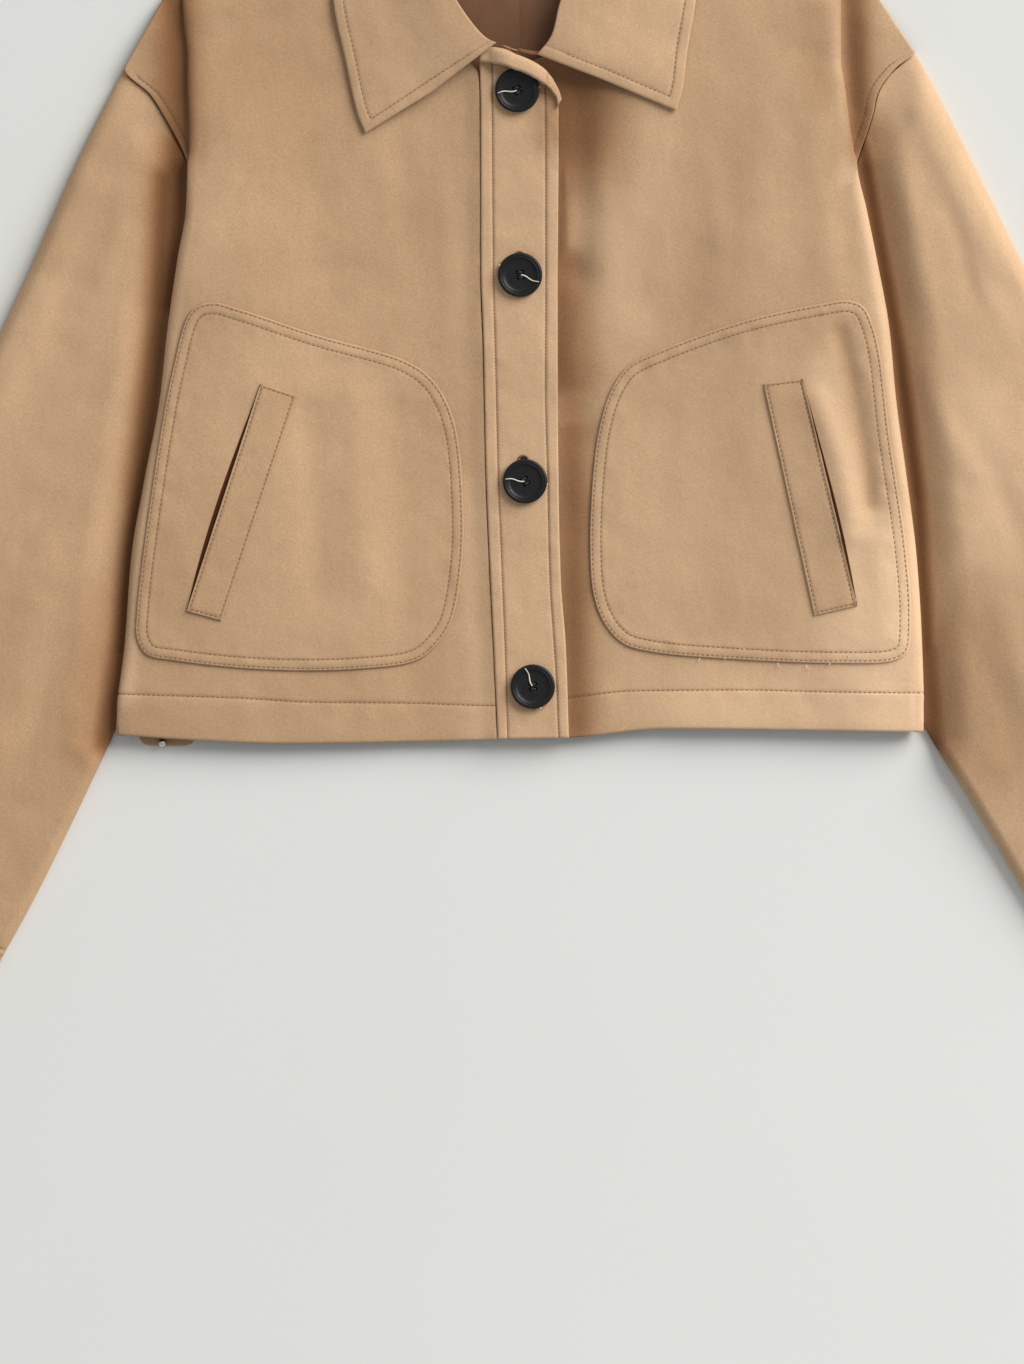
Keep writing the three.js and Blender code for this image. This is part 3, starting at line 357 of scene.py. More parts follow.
# Pieces with shorter stitches, as a share of the stitch pitch.
PITCHES = {"placket": 0.7}

# Painted light: how much lighter each piece is coloured for the light that falls on it.
PAINTED_LIGHT_BY_PIECE = {
    "sleeve_left": 1.08, "sleeve_right": 1.03, "front_left": 1.03, "pocket_left": 1.03, "collar_leaf": 1.02,
    "placket": 1.10,
}

# Thickness of each kind of cloth, and the gap between two pieces that lie on each other.
CLOTH = 1.6
HEM_CLOTH = 2.6
PLACKET_CLOTH = 2.4
POCKET_CLOTH = 1.3
WELT_CLOTH = 1.2
COLLAR_CLOTH = 1.8
LAY_GAP = 0.35

# A row of stitches: half widths of its groove and of its shaded line.
GROOVE_HALF = 1.0
SHADE_HALF = 0.7

# Levels of the body, and how it drops to the shoulder seam.
HEM_Y = -214
HEM_LEVEL = -190  # row of stitches over the hem, before it bends to its own line
HEM_REACH = 64  # height over which the levels bend to the hem line
HEM_TURN_UP = 30  # height of the doubled cloth
BELOW_ARM_Y = -14  # further down the flap's end is sewn to the back
FOLD_END_Y = 150  # further up the front folds forward over its armhole
FRONT_END_Y = 313
TOP_Y = 315
SHOULDER_DROP = 4.5
SHOULDER_ROLL = 30  # width of the cloth that drops

# Sides of the fronts.
SIDE_ROLL = 7  # radius of the outer half of the roll
FLAP_TURN = 5  # radius of its inner half
FULL_FOLD = 15  # overlap from which the turned-under flap lies at its full height
FLAP_Z = 7.4
EDGE_TURN = 4.4  # how far the edge turns down where nothing is folded under
SEAM_Z = 1.9
SEAM_TUCK = 4  # how far the side seam reaches in
LEDGE_TURN = 2  # radius of the fold over the armhole
LEDGE_RISE = 0.5  # share of the drop that comes up again before the armhole
LOWEST_TOP = 5.2  # lowest height of the front there
ARM_ROW = 5.5  # from the armhole seam to its row of stitches
ARM_TURN = 3.0  # how far the edge turns down at the armhole seam
PLACKET_JOIN = 1.6  # how far the upper front's edge rises to the placket
HAIR = 0.02  # least width of a strip of the grid
CHEST_WIDE = 200
# How the edge turns in past its last row: out and down, as shares.
TUCK = table("share out down", [(0, 0, 0), (0.5, 0.7, 0.45), (1, 1, 1)])

# Sleeves: length and width on the flat, rows of stitches from the cuff's end, and the rounded edges.
SLEEVE_LONG = 430
SLEEVE_WIDE = 190
CUFF_ROWS = (24, 19)
UNDER_FLAP_Z = 6.7  # height of the sleeve under the body's turned-under flap
ARM_STEP = 1.4  # how far the sleeve lies below the front at the armhole
SLEEVE_SHADE = 32  # width over which it rises out of the hollow beside the body
SLEEVE_EDGE_Z = 3.2
SLEEVE_EDGE_R = 9
INNER_EDGE_R = 6
RESTING_EDGE_R = 5  # on the side that lies on the table

# Back: width and length on the flat, its row of stitches from the hem, and its neck line.
BACK_WIDE = 500
BACK_LONG = 526
BACK_ROW = 20
BACK_HEM_RISE = 4
BACK_SHOULDER_GAP = 2.4
BACK_NECK = table("x y", [(0, 303), (38, 305), (70, 310), (89, 312.6)])

# Placket: width and length, its rows of stitches from the right edge, and where the curled lip starts.
PLACKET_WIDE = 49
PLACKET_LONG = 420
PLACKET_ROWS = (7.4, 41)
PLACKET_END_Y = 205

# Pockets: rows of stitches from the edge, width of the border and nominal depth from there to the middle.
POCKET_ROWS = (1.6, 7.0)
POCKET_BORDER = 9.4
POCKET_DEPTH = 95
POCKET_STEPS = 420

# Welts: length and width on the flat, rows of stitches from their edges, and the slit beside them.
WELT_LONG = 150
WELT_WIDE = 24
WELT_ROW = 1.7
SLIT_SHADE_MARK = 4.0  # seam value that marks the painted shade in the opening beside a welt
SLIT_SHADE = 0.35  # how dark the painted shade in the opening is
SLIT_WIDE = {"r": 3.2, "l": 1.9}

# Collar: length and width of the stand and width of the leaf on the flat, and their rows of stitches.
STAND_LONG = 520
STAND_WIDE = 36
STAND_ROW = 3
STAND_ROOT = 0.12  # in front the band starts at this share of its height
STAND_FOOT = 2.4  # behind it starts this much lower, on the back
LEAF_WIDE = 70
LEAF_EVEN = 12  # width along the free edge whose grid isn't stretched
EDGE_BAND = 7

# Buttons: their holes, in degrees round the middle and at this distance from it.
BUTTON_HOLES = (45, 135, 225, 315)
HOLE_AT = 2.3
BUTTON_RADIUS = 14
BUTTON_LIFT = 0.6  # of the foot over the placket
# Buttonholes that show above a button: number, place and radius.
BUTTONHOLES = table("number x y rim", [(2, -0.1, 91.2, 2.4), (3, 2.2, -37.6, 2.8)])

# Hem tab: its lower outline, the level of its upper edge at both ends, and the middle of its ball.
TAB_OUTLINE = table("x y", [
    (-240, -213.5), (-237, -217), (-232, -218), (-214, -218.2), (-207.5, -217), (-205, -212.4),
])
TAB_ROOT = (-209.3, -211.4)
STUD_AT = (-225.7, -216, 4.5)

UP, DOWN = (0, 0, 1), (0, 0, -1)
TABLE = (-np.inf, -np.inf, 0.0)  # nothing reaches below the surface that the jacket lies on
PAINTED_LIGHT_TO_LEFT = 0.00016  # painted light: change of tone for each millimetre towards the wearer's left side, where the light comes from
DEEP_SHADE = (1, 0.68, 0.46, 1)  # what the deepest painted shade keeps of red, green and blue

# Stage, in metres and degrees.
PHOTO_HIGH = 0.8593  # distance between the picture's upper and lower edge, at the height of the cloth
PHOTO_MIDDLE = (-0.005, -0.1777)
CLOTH_LEVEL = 0.012
CAMERA_HEIGHT = 6.0
SENSOR_WIDE = 36
FLOOR_REACH = 4.0
WINDOW_TURN = (-60, 0, -49)
WINDOW_SPREAD = 42


def smooth(t):
    """Soft step from 0 to 1."""
    t = np.clip(t, 0, 1)
    return t * t * (3 - 2 * t)


def lerp(a, b, t):
    """From a to b by the share t."""
    return a + (b - a) * t


def rounded(distance, radius):
    """Quarter circle: 0 at the edge and 1 from the radius on."""
    return np.sqrt(1 - (1 - np.clip(distance / radius, 0, 1)) ** 2)


def hill(distance, half):
    """Bell of height 1 that fades over the half width."""
    return np.exp(-np.square(distance / half))


def read(rows, key, at, by="y"):
    """A column of a table at any place of its key column, by cubic steps that never overshoot the rows."""
    keys, values = rows[by], rows[key]
    at = np.clip(np.asarray(at, float), keys[0], keys[-1])
    slope = np.diff(values) / np.diff(keys)
    both = slope[:-1] * slope[1:]
    total = np.where(both > 0, slope[:-1] + slope[1:], 1)
    tangent = np.concatenate([slope[:1], np.where(both > 0, 2 * both / total, 0), slope[-1:]])
    i = np.clip(np.searchsorted(keys, at, side="right") - 1, 0, len(keys) - 2)
    span = keys[i + 1] - keys[i]
    t = (at - keys[i]) / span
    t2, t3 = t * t, t * t * t
    start = (2 * t3 - 3 * t2 + 1) * values[i] + (t3 - 2 * t2 + t) * span * tangent[i]
    return start + (3 * t2 - 2 * t3) * values[i + 1] + (t3 - t2) * span * tangent[i + 1]


def curve(points, shares, closed=False):
    """Centripetal curve through the points, at shares of its number of spans."""
    p = np.asarray(points, float)
    spans = len(p) if closed else len(p) - 1
    if closed:
        p = np.concatenate([p[-1:], p, p[:2]])
    else:
        p = np.concatenate([2 * p[:1] - p[1:2], p, 2 * p[-1:] - p[-2:-1]])
    at = np.clip(shares, 0, 1) * spans
    i = np.minimum(at.astype(int), spans - 1)
    f = (at - i).reshape((-1,) + (1,) * (p.ndim - 1))
    gap = np.sqrt(np.maximum(np.linalg.norm(np.diff(p, axis=0), axis=-1, keepdims=True), 1e-6))
    before, here, after = gap[i], gap[i + 1], gap[i + 2]
    p0, p1, p2, p3 = p[i], p[i + 1], p[i + 2], p[i + 3]
    m1 = ((p1 - p0) / before - (p2 - p0) / (before + here) + (p2 - p1) / here) * here
    m2 = ((p2 - p1) / here - (p3 - p1) / (here + after) + (p3 - p2) / after) * here
    f2, f3 = f * f, f * f * f
    return (2 * f3 - 3 * f2 + 1) * p1 + (f3 - 2 * f2 + f) * m1 + (3 * f2 - 2 * f3) * p2 + (f3 - f2) * m2


def lengths(points):
    """Running length along a line of points."""
    return np.concatenate([[0], np.cumsum(np.linalg.norm(np.diff(points, axis=0), axis=-1))])


def along(points, shares, closed=False):
    """Points of the curve at shares of its length."""
    dense = curve(points, np.linspace(0, 1, 60 * len(points)), closed)
    run = lengths(dense)
    return np.stack([np.interp(np.asarray(shares) * run[-1], run, c) for c in dense.T], axis=-1)


def lines(length, step, stitches=(), rims=(0, 1)):
    """Places of the grid lines over a length: step apart, closer at the rims and on both sides of a row of
    stitches."""
    rim = np.array((0, 0.2, 0.5, 1.0, 1.8))
    row = np.array((-2.4, -1.4, -0.8, -0.4, 0, 0.4, 0.8, 1.4, 2.4))
    close = [abs(end * length - rim) for end in rims] + [place + row for place in stitches]
    close = np.unique(np.round(np.clip(np.concatenate(close or [np.zeros(1)]), 0, length), 3))
    plain = np.linspace(0, length, int(length / step) + 1)
    plain = plain[np.abs(plain[:, None] - close[None]).min(axis=1) > 0.5 * step]
    return np.sort(np.concatenate([close, plain]))


def noise(x, y, cell, seed):
    """Seeded smooth unevenness from -1 to 1, with bumps about a cell across."""
    lattice = np.random.default_rng(seed).uniform(-1, 1, (128, 128))
    i, fx = np.divmod(x / cell, 1)
    j, fy = np.divmod(y / cell, 1)
    i, j = i.astype(int) % 128, j.astype(int) % 128
    fx, fy = smooth(fx), smooth(fy)
    i1, j1 = (i + 1) % 128, (j + 1) % 128
    low = lerp(lattice[i, j], lattice[i1, j], fx)
    return lerp(low, lerp(lattice[i, j1], lattice[i1, j1], fx), fy)


def creases(x, y, rows, taper=True):
    """Sum of ridges and troughs: each follows its bowed line, fades with the distance from it and tapers at
    its ends."""
    total = np.zeros(np.broadcast(x, y).shape)
    for x0, y0, x1, y1, bow, half, lift in zip(*rows.values()):
        dx, dy = x1 - x0, y1 - y0
        reach = np.hypot(dx, dy)
        t = ((x - x0) * dx + (y - y0) * dy) / reach**2
        held = np.clip(t, 0, 1)
        side = ((y - y0) * dx - (x - x0) * dy) / reach - bow * 4 * held * (1 - held)
        past = (t - held) * reach
        strength = lift * (0.25 + 0.75 * np.sin(np.pi * held)) if taper else lift
        total += strength * hill(np.hypot(side, past), half)
    return total


def painted_shading(x, y, rows):
    """Painted light and shade: change of tone from the strongest darkening and the strongest lightening line
    of the table.
    """
    dark, light = np.zeros_like(x), np.zeros_like(x)
    for x0, y0, x1, y1, half, change in zip(*rows.values()):
        dx, dy = x1 - x0, y1 - y0
        t = np.clip(((x - x0) * dx + (y - y0) * dy) / (dx * dx + dy * dy), 0, 1)
        here = change * hill(np.hypot(x - x0 - t * dx, y - y0 - t * dy), half)
        dark, light = np.minimum(dark, here), np.maximum(light, here)
    return dark + light


def fold_x(x, y):
    """How far from the middle the front turns under, on the side that x is on."""
    return np.where(np.asarray(x) < 0, read(BODY, "fold_r", y), read(BODY, "fold_l", y))


def shoulder_distance(x, y):
    """Distance inside the straight shoulder line."""
    low, high = -2, -1  # the last two rows of the table are the ends of the shoulder line
    total = 0
    for key, here in (("fold_r", np.asarray(x) < 0), ("fold_l", np.asarray(x) >= 0)):
        dx = BODY[key][high] - BODY[key][low]
        dy = BODY["y"][high] - BODY["y"][low]
        away = (dx * (y - BODY["y"][low]) - dy * (np.abs(x) - BODY[key][low])) / np.hypot(dx, dy)
        total = total + np.where(here, away, 0)
    return total


def front_top(x, y):
    """Height of the fronts: the middle height, the rise to the sides, the folds and creases, a soft
    unevenness, and the drop to the shoulder seam."""
    side = smooth((np.abs(x) / fold_x(x, y) - 0.25) / 0.65) * read(BODY, "rise", y)
    roll = 1 - smooth(shoulder_distance(x, y) / SHOULDER_ROLL)
    uneven = 0.5 * noise(x, y, 41, 1) + 0.28 * noise(x + y * 0.3, y - x * 0.3, 17, 2)
    uneven = uneven + 0.08 * noise(x, y, 6, 3)
    shaped = read(MIDDLE, "z", y) + side + creases(x, y, FOLDS, taper=False) - SHOULDER_DROP * roll
    return shaped + creases(x, y, CREASES) + uneven * smooth((y - HEM_Y) / 20 + 0.4)


def shoulder_top(key, x, y):
    """Height of the part of a front that lies lower, outside the fold over its armhole."""
    past = np.abs(x) - read(LEDGE, key, y)
    drop = read(LEDGE, "drop", y) * (1 - LEDGE_RISE * smooth((past - 2) / 17))
    return np.maximum(front_top(x, y) - drop, LOWEST_TOP)


def valley(x, y):
    """How far the under front dips beside the placket."""
    from_edge = x - read(CENTRE, "placket_l", y)
    wide = 1.3 * read(VALLEY, "wide", y)
    return read(VALLEY, "deep", y) * (1 - np.clip(from_edge / wide, 0, 1)) ** 2


def ground(x, y):
    """Height of what the collar lies on: the fronts, or the table outside them."""
    inside = np.minimum(np.minimum(fold_x(x, y) - np.abs(x), shoulder_distance(x, y)), TOP_Y - y)
    return np.where(inside <= 0, 0, front_top(x, y) * smooth(inside / 4))


def rim_distance(face, ring, patch):
    """Length along the grid from each point to the nearest open edge."""
    step = np.linalg.norm(np.diff(face, axis=0), axis=-1)
    run = np.concatenate([np.zeros((1, face.shape[1])), np.cumsum(step, axis=0)])
    away = run if patch else np.minimum(run, run[-1] - run)
    if not ring:
        step = np.linalg.norm(np.diff(face, axis=1), axis=-1)
        run = np.concatenate([np.zeros((face.shape[0], 1)), np.cumsum(step, axis=1)], axis=1)
        away = np.minimum(away, np.minimum(run, run[:, -1:] - run))
    return away


def skin(face, thick, relief=0.0, seam=0.0, ring=False, flip=False, patch=False):
    """Closes a grid of outer points into a thin wall with rounded rims. The outer face is first moved out by
    the relief; the inner face is a thickness further in along the normals. Both meet on a half circle at the
    open edges. A patch ends in its middle, where a fan closes it. Returns points, faces, the values of the
    points and the outer grid."""
    rows, columns = face.shape[:2]
    down = np.gradient(face, axis=0)
    across = (np.roll(face, -1, 1) - np.roll(face, 1, 1)) if ring else np.gradient(face, axis=1)
    inward = np.cross(down, across) * (-1 if flip else 1)
    inward /= np.maximum(np.linalg.norm(inward, axis=-1, keepdims=True), 1e-9)
    thick = np.broadcast_to(np.asarray(thick, float), (rows, columns))[..., None]
    relief = np.broadcast_to(np.asarray(relief, float), (rows, columns))[..., None]
    away = rim_distance(face, ring, patch)[..., None]
    swell = rounded(away, 0.62 * thick)
    outer = face - inward * relief + inward * thick * (1 - swell) / 2
    inner = face + inward * thick * (1 + swell) / 2
    top = np.arange(rows * columns).reshape(rows, columns)
    low = top + rows * columns
    low[0] = top[0]
    if not patch:
        low[-1] = top[-1]
    if not ring:
        low[:, 0], low[:, -1] = top[:, 0], top[:, -1]
    seam = np.broadcast_to(np.asarray(seam, float), (rows, columns)).ravel()
    inside = np.concatenate([np.zeros(rows * columns), np.ones(rows * columns)])
    points = np.concatenate([outer.reshape(-1, 3), inner.reshape(-1, 3)])
    values = {"seam": np.concatenate([seam, seam * 0.5]), "inside": inside}

    def quads(index, turned):
        """Four corners of every cell of the grid."""
        after = np.roll(index, -1, 1) if ring else index[:, 1:]
        before = index if ring else index[:, :-1]
        around = (before[:-1], after[:-1], after[1:], before[1:])
        corners = np.stack(around[::-1] if turned else around, axis=-1)
        return corners.reshape(-1, 4)

    corners = np.concatenate([quads(top, flip), quads(low, not flip)])
    fans = np.zeros((0, 3), int)
    if patch:
        for index, turned in ((top, flip), (low, not flip)):
            middle = np.full(columns, len(points))
            points = np.concatenate([points, points[index[-1]].mean(axis=0, keepdims=True)])
            values = {key: np.append(value, value[index[-1, 0]]) for key, value in values.items()}
            before, after = index[-1], np.roll(index[-1], -1)
            order = (after, before, middle) if turned else (before, after, middle)
            fans = np.concatenate([fans, np.stack(order, 1)])
    used = np.zeros(len(points), bool)
    used[corners.ravel()] = True
    used[fans.ravel()] = True
    number = np.cumsum(used) - 1
    values = {key: value[used] for key, value in values.items()}
    return points[used], number[corners].tolist() + number[fans].tolist(), values, outer


def closed(grid):
    """Closes rings of points into a solid, with a fan at each end. Rings run anticlockwise, from the first
    end to the last."""
    rows, columns = grid.shape[:2]
    points = np.concatenate([grid.reshape(-1, 3), grid[:1].mean(axis=1), grid[-1:].mean(axis=1)])
    index = np.arange(rows * columns).reshape(rows, columns)
    after = np.roll(index, -1, 1)
    sides = np.stack([index[:-1], after[:-1], after[1:], index[1:]], axis=-1).reshape(-1, 4)
    first, last = np.full(columns, rows * columns), np.full(columns, rows * columns + 1)
    ends = (after[0], index[0], first), (index[-1], after[-1], last)
    fans = np.concatenate([np.stack(end, 1) for end in ends])
    return points, sides.tolist() + fans.tolist()


def join(shapes):
    """Several shapes of points and faces as one."""
    points, faces, start = [], [], 0
    for some, corners in shapes:
        points.append(some)
        faces += [[corner + start for corner in face] for face in corners]
        start += len(some)
    return np.concatenate(points), faces


def tube(points, radius, around=8):
    """A round thread through the points, closed at both ends."""
    points = np.asarray(points, float)
    ahead = np.gradient(points, axis=0)
    ahead /= np.linalg.norm(ahead, axis=1, keepdims=True)
    side = np.cross(ahead, (0.05, 0.02, 1.0))
    side /= np.linalg.norm(side, axis=1, keepdims=True)
    up = np.cross(side, ahead)
    turn = np.linspace(0, 2 * np.pi, around, endpoint=False)[None, :, None]
    ring = np.cos(turn) * up[:, None] + np.sin(turn) * side[:, None] * -1
    return closed(points[:, None] + ring * np.reshape(radius, (-1, 1, 1)))


def make(name, points, faces, material, slot, values=None, nodes=()):
    """A mesh object from points in millimetres, with its values as point attributes."""
    mesh = bpy.data.meshes.new(name)
    points = np.maximum(points, TABLE) * MM
    mesh.from_pydata(points.tolist(), [], faces)
    mesh.polygons.foreach_set("use_smooth", np.ones(len(mesh.polygons), bool))
    for key, value in (values or {}).items():
        mesh.attributes.new(key, "FLOAT", "POINT").data.foreach_set("value", np.asarray(value, np.float32))
    mesh.materials.append(material)
    mesh.update()
    piece = bpy.data.objects.new(name, mesh)
    bpy.context.scene.collection.objects.link(piece)
    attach(piece, "root")
    if nodes:
        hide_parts(*nodes)
    return piece


def stitches(paths, pitch=3.1, long=1.9, wide=0.6, high=0.42, seed=5):
    """Short rounded bars of thread along the paths, each path a line of points with the direction that it
    faces. A bar is three rings of six points with a point at each end, turned a little at random."""
    rings = np.radians([-52, 0, 52])
    turn = np.radians(np.arange(0, 360, 60))
    shape = np.stack([
        np.repeat(np.sin(rings), 6) * long / 2,
        np.outer(np.cos(rings), np.cos(turn)).ravel() * wide / 2,
        np.outer(np.cos(rings), np.sin(turn)).ravel() * high / 2,
    ], axis=-1)
    shape = np.concatenate([shape, [(-long / 2, 0, 0), (long / 2, 0, 0)]])
    index = np.arange(18).reshape(3, 6)
    after = np.roll(index, -1, 1)
    sides = np.stack([index[:-1], after[:-1], after[1:], index[1:]], axis=-1).reshape(-1, 4)
    caps = np.concatenate([
        np.stack([after[0], index[0], np.full(6, 18)], 1), np.stack([index[2], after[2], np.full(6, 19)], 1),
    ])
    random = np.random.default_rng(seed)
    points, quads, tris, start = [], [], [], 0
    for path, facing in paths:
        run = lengths(path)
        at = np.arange(pitch / 2, run[-1], pitch)
        place = np.stack([np.interp(at, run, c) for c in path.T], axis=-1)
        ahead = np.stack([np.interp(at + 0.5, run, c) - np.interp(at - 0.5, run, c) for c in path.T], axis=-1)
        ahead[:, :2] += random.normal(0, 0.05, (len(at), 2))
        ahead /= np.maximum(np.linalg.norm(ahead, axis=1, keepdims=True), 1e-9)
        side = np.cross(facing, ahead)
        side /= np.linalg.norm(side, axis=1, keepdims=True)
        up = np.cross(ahead, side)
        place = place + np.asarray(facing) * high * 0.25
        bars = place[:, None]
        for part, axis in zip(shape.T, (ahead, side, up)):
            bars = bars + part[:, None] * axis[:, None]
        points.append(bars.reshape(-1, 3))
        offset = start + np.arange(len(at))[:, None, None] * len(shape)
        quads.append((sides[None] + offset).reshape(-1, 4))
        tris.append((caps[None] + offset).reshape(-1, 3))
        start += len(at) * len(shape)
    return np.concatenate(points), np.concatenate(quads).tolist() + np.concatenate(tris).tolist()


def front(key, cloth):
    """One front, level by level: over the chest with its folds and creases and round the side with a soft
    roll. Below the arm it goes back under itself to the side seam, above it out again to the armhole or
    shoulder. Returns its skin and its rows of stitches."""
    side = -1 if key == "r" else 1
    level = HEM_Y + lines(FRONT_END_Y - HEM_Y, cloth.step, stitches=(HEM_LEVEL - HEM_Y,))
    y = level[:, None]
    upper = y > FOLD_END_Y
    centre = read(CENTRE, "front_" + key, y)
    sewn_at = read(BODY, "seam_" + key, y)
    fold = np.where(upper, np.minimum(read(LEDGE, key, y), sewn_at), read(BODY, "fold_" + key, y))
    overlap = fold - sewn_at
    edge = side * fold
    roll = np.minimum(SIDE_ROLL, np.abs(edge - centre) * 0.3)
    start = edge - side * roll

    # Heights at the top of the roll, half way round it, under it and at the sewn edge.
    top = front_top(start, y)
    folded = smooth(overlap / FULL_FOLD)
    below_arm = np.where(upper, 0, 1 - smooth((y - BELOW_ARM_Y) / 20))
    turned = np.maximum(top - EDGE_TURN, SEAM_Z - 1.2)
    lower = shoulder_top(key, edge, y)
    under = np.where(upper, lower, lerp(lerp(top, turned, 0.7), FLAP_Z, folded))
    end = lerp(lerp(turned, FLAP_Z - 0.05, folded), SEAM_Z, below_arm)
    half_way = lerp(lerp(top, turned, 0.45), lerp(top, FLAP_Z, 0.5), folded)
    middle = np.where(upper, lerp(top, lower, 0.5), half_way)

    # Columns: chest, outer and inner half of the roll, flap, its rim and the tuck at the seam.
    reach = np.where(upper, np.minimum(LEDGE_TURN, -overlap / 2), np.minimum(FLAP_TURN, overlap / 2))
    stop = np.where(upper, overlap + HAIR, np.maximum(overlap - 2, reach + HAIR))
    row_at = stop + np.where(upper, 1, -1) * np.minimum(ARM_ROW, 0.6 * np.abs(reach - stop))
    share = lines(CHEST_WIDE, cloth.step, rims=(0,)) / CHEST_WIDE
    turn = np.radians(np.linspace(0, 90, 9)[1:])
    flap = np.concatenate([np.linspace(0, 0.9, 22)[1:], [0.94, 0.97, 0.985, 1]])
    rim = np.array((0.04, 0.1, 0.25, 0.5, 0.75, 1))
    tuck = np.array((0.25, 0.5, 0.75, 1))
    x = np.concatenate([
        lerp(centre, start, share),
        edge - side * roll * (1 - np.sin(turn)),
        edge - side * reach * (1 - np.cos(turn)),
        edge - side * lerp(reach, row_at, flap),
        edge - side * lerp(row_at, stop, rim),
        edge - side * (stop + below_arm * SEAM_TUCK * np.interp(tuck, TUCK["share"], TUCK["out"])),
    ], axis=1)

    # The levels bend to the hem line and to its row of stitches.
    low = smooth((HEM_Y + HEM_REACH - y) / HEM_REACH)
    dip = read(HEM_LINE, "dy", x, by="x")
    at_row = HEM_LEVEL + smooth((HEM_Y + HEM_REACH - HEM_LEVEL) / HEM_REACH) * dip
    sewn = read(HEM_STITCHING, "y", x, by="x") - at_row
    y_out = y + low * dip + sewn * hill(y - HEM_LEVEL, 16)

    chest = slice(0, len(share))
    flat = front_top(x[:, chest], y_out[:, chest])
    if key == "l":
        flat = flat - valley(x[:, chest], y_out[:, chest])
    else:
        flat = flat + PLACKET_JOIN * hill(x[:, chest] - centre, 6) * (1 - smooth((y - 202) / 8))
    first = len(share) + 2 * len(turn)
    arm_row = first + len(flap) - 1
    outside = slice(first, arm_row + len(rim) + 1)
    sag = 0.15 * np.linspace(0, 1, outside.stop - first)
    lying = np.where(upper, shoulder_top(key, x[:, outside], y_out[:, outside]), under - sag)
    rim_z = lying[:, -1:]
    end_z = np.where(upper, rim_z - ARM_TURN, end)
    z = np.concatenate([
        flat,
        lerp(middle, top, np.cos(turn)),
        lerp(middle, under, np.sin(turn)),
        lying,
        lerp(rim_z, end_z, np.interp(tuck, TUCK["share"], TUCK["down"])),
    ], axis=1)

    # Sewing: the row over the hem and, above the arm, the row beside the armhole.
    from_row = y - HEM_LEVEL + 0 * x
    column = np.arange(x.shape[1])
    armhole = smooth((y - 153) / 4) * (1 - smooth((y - ARMHOLE_TOP[key] + 6) / 4)) * (column >= first)
    from_arm = x - x[:, arm_row:arm_row + 1]
    hem_band = smooth(-from_row / 3) * (1 - smooth((-from_row - 18) / 6))
    pucker = noise(x, y_out, 8, 21) * hill(from_row + 3, 7)
    pucker = pucker + armhole * noise(x, y_out, 7, 22) * hill(from_arm, 6)
    sunk = hill(from_row, GROOVE_HALF) + armhole * hill(from_arm, GROOVE_HALF)
    seam = hill(from_row, SHADE_HALF) + armhole * hill(from_arm, SHADE_HALF)
    relief = cloth.puff * hem_band + cloth.pucker * pucker - cloth.groove * sunk
    thick = lerp(CLOTH, HEM_CLOTH, smooth((HEM_Y + HEM_TURN_UP - y) / 10)) + 0 * x
    shape = skin(np.stack([x, y_out, z], axis=-1), thick, relief, seam, flip=side < 0)
    grid = shape[3]
    row = np.argmin(np.abs(level - HEM_LEVEL))
    arm = (level > 155) & (level < ARMHOLE_TOP[key] - 4)
    return shape, [(grid[row, 2:len(share) + 6], UP), (grid[arm, arm_row], UP)]


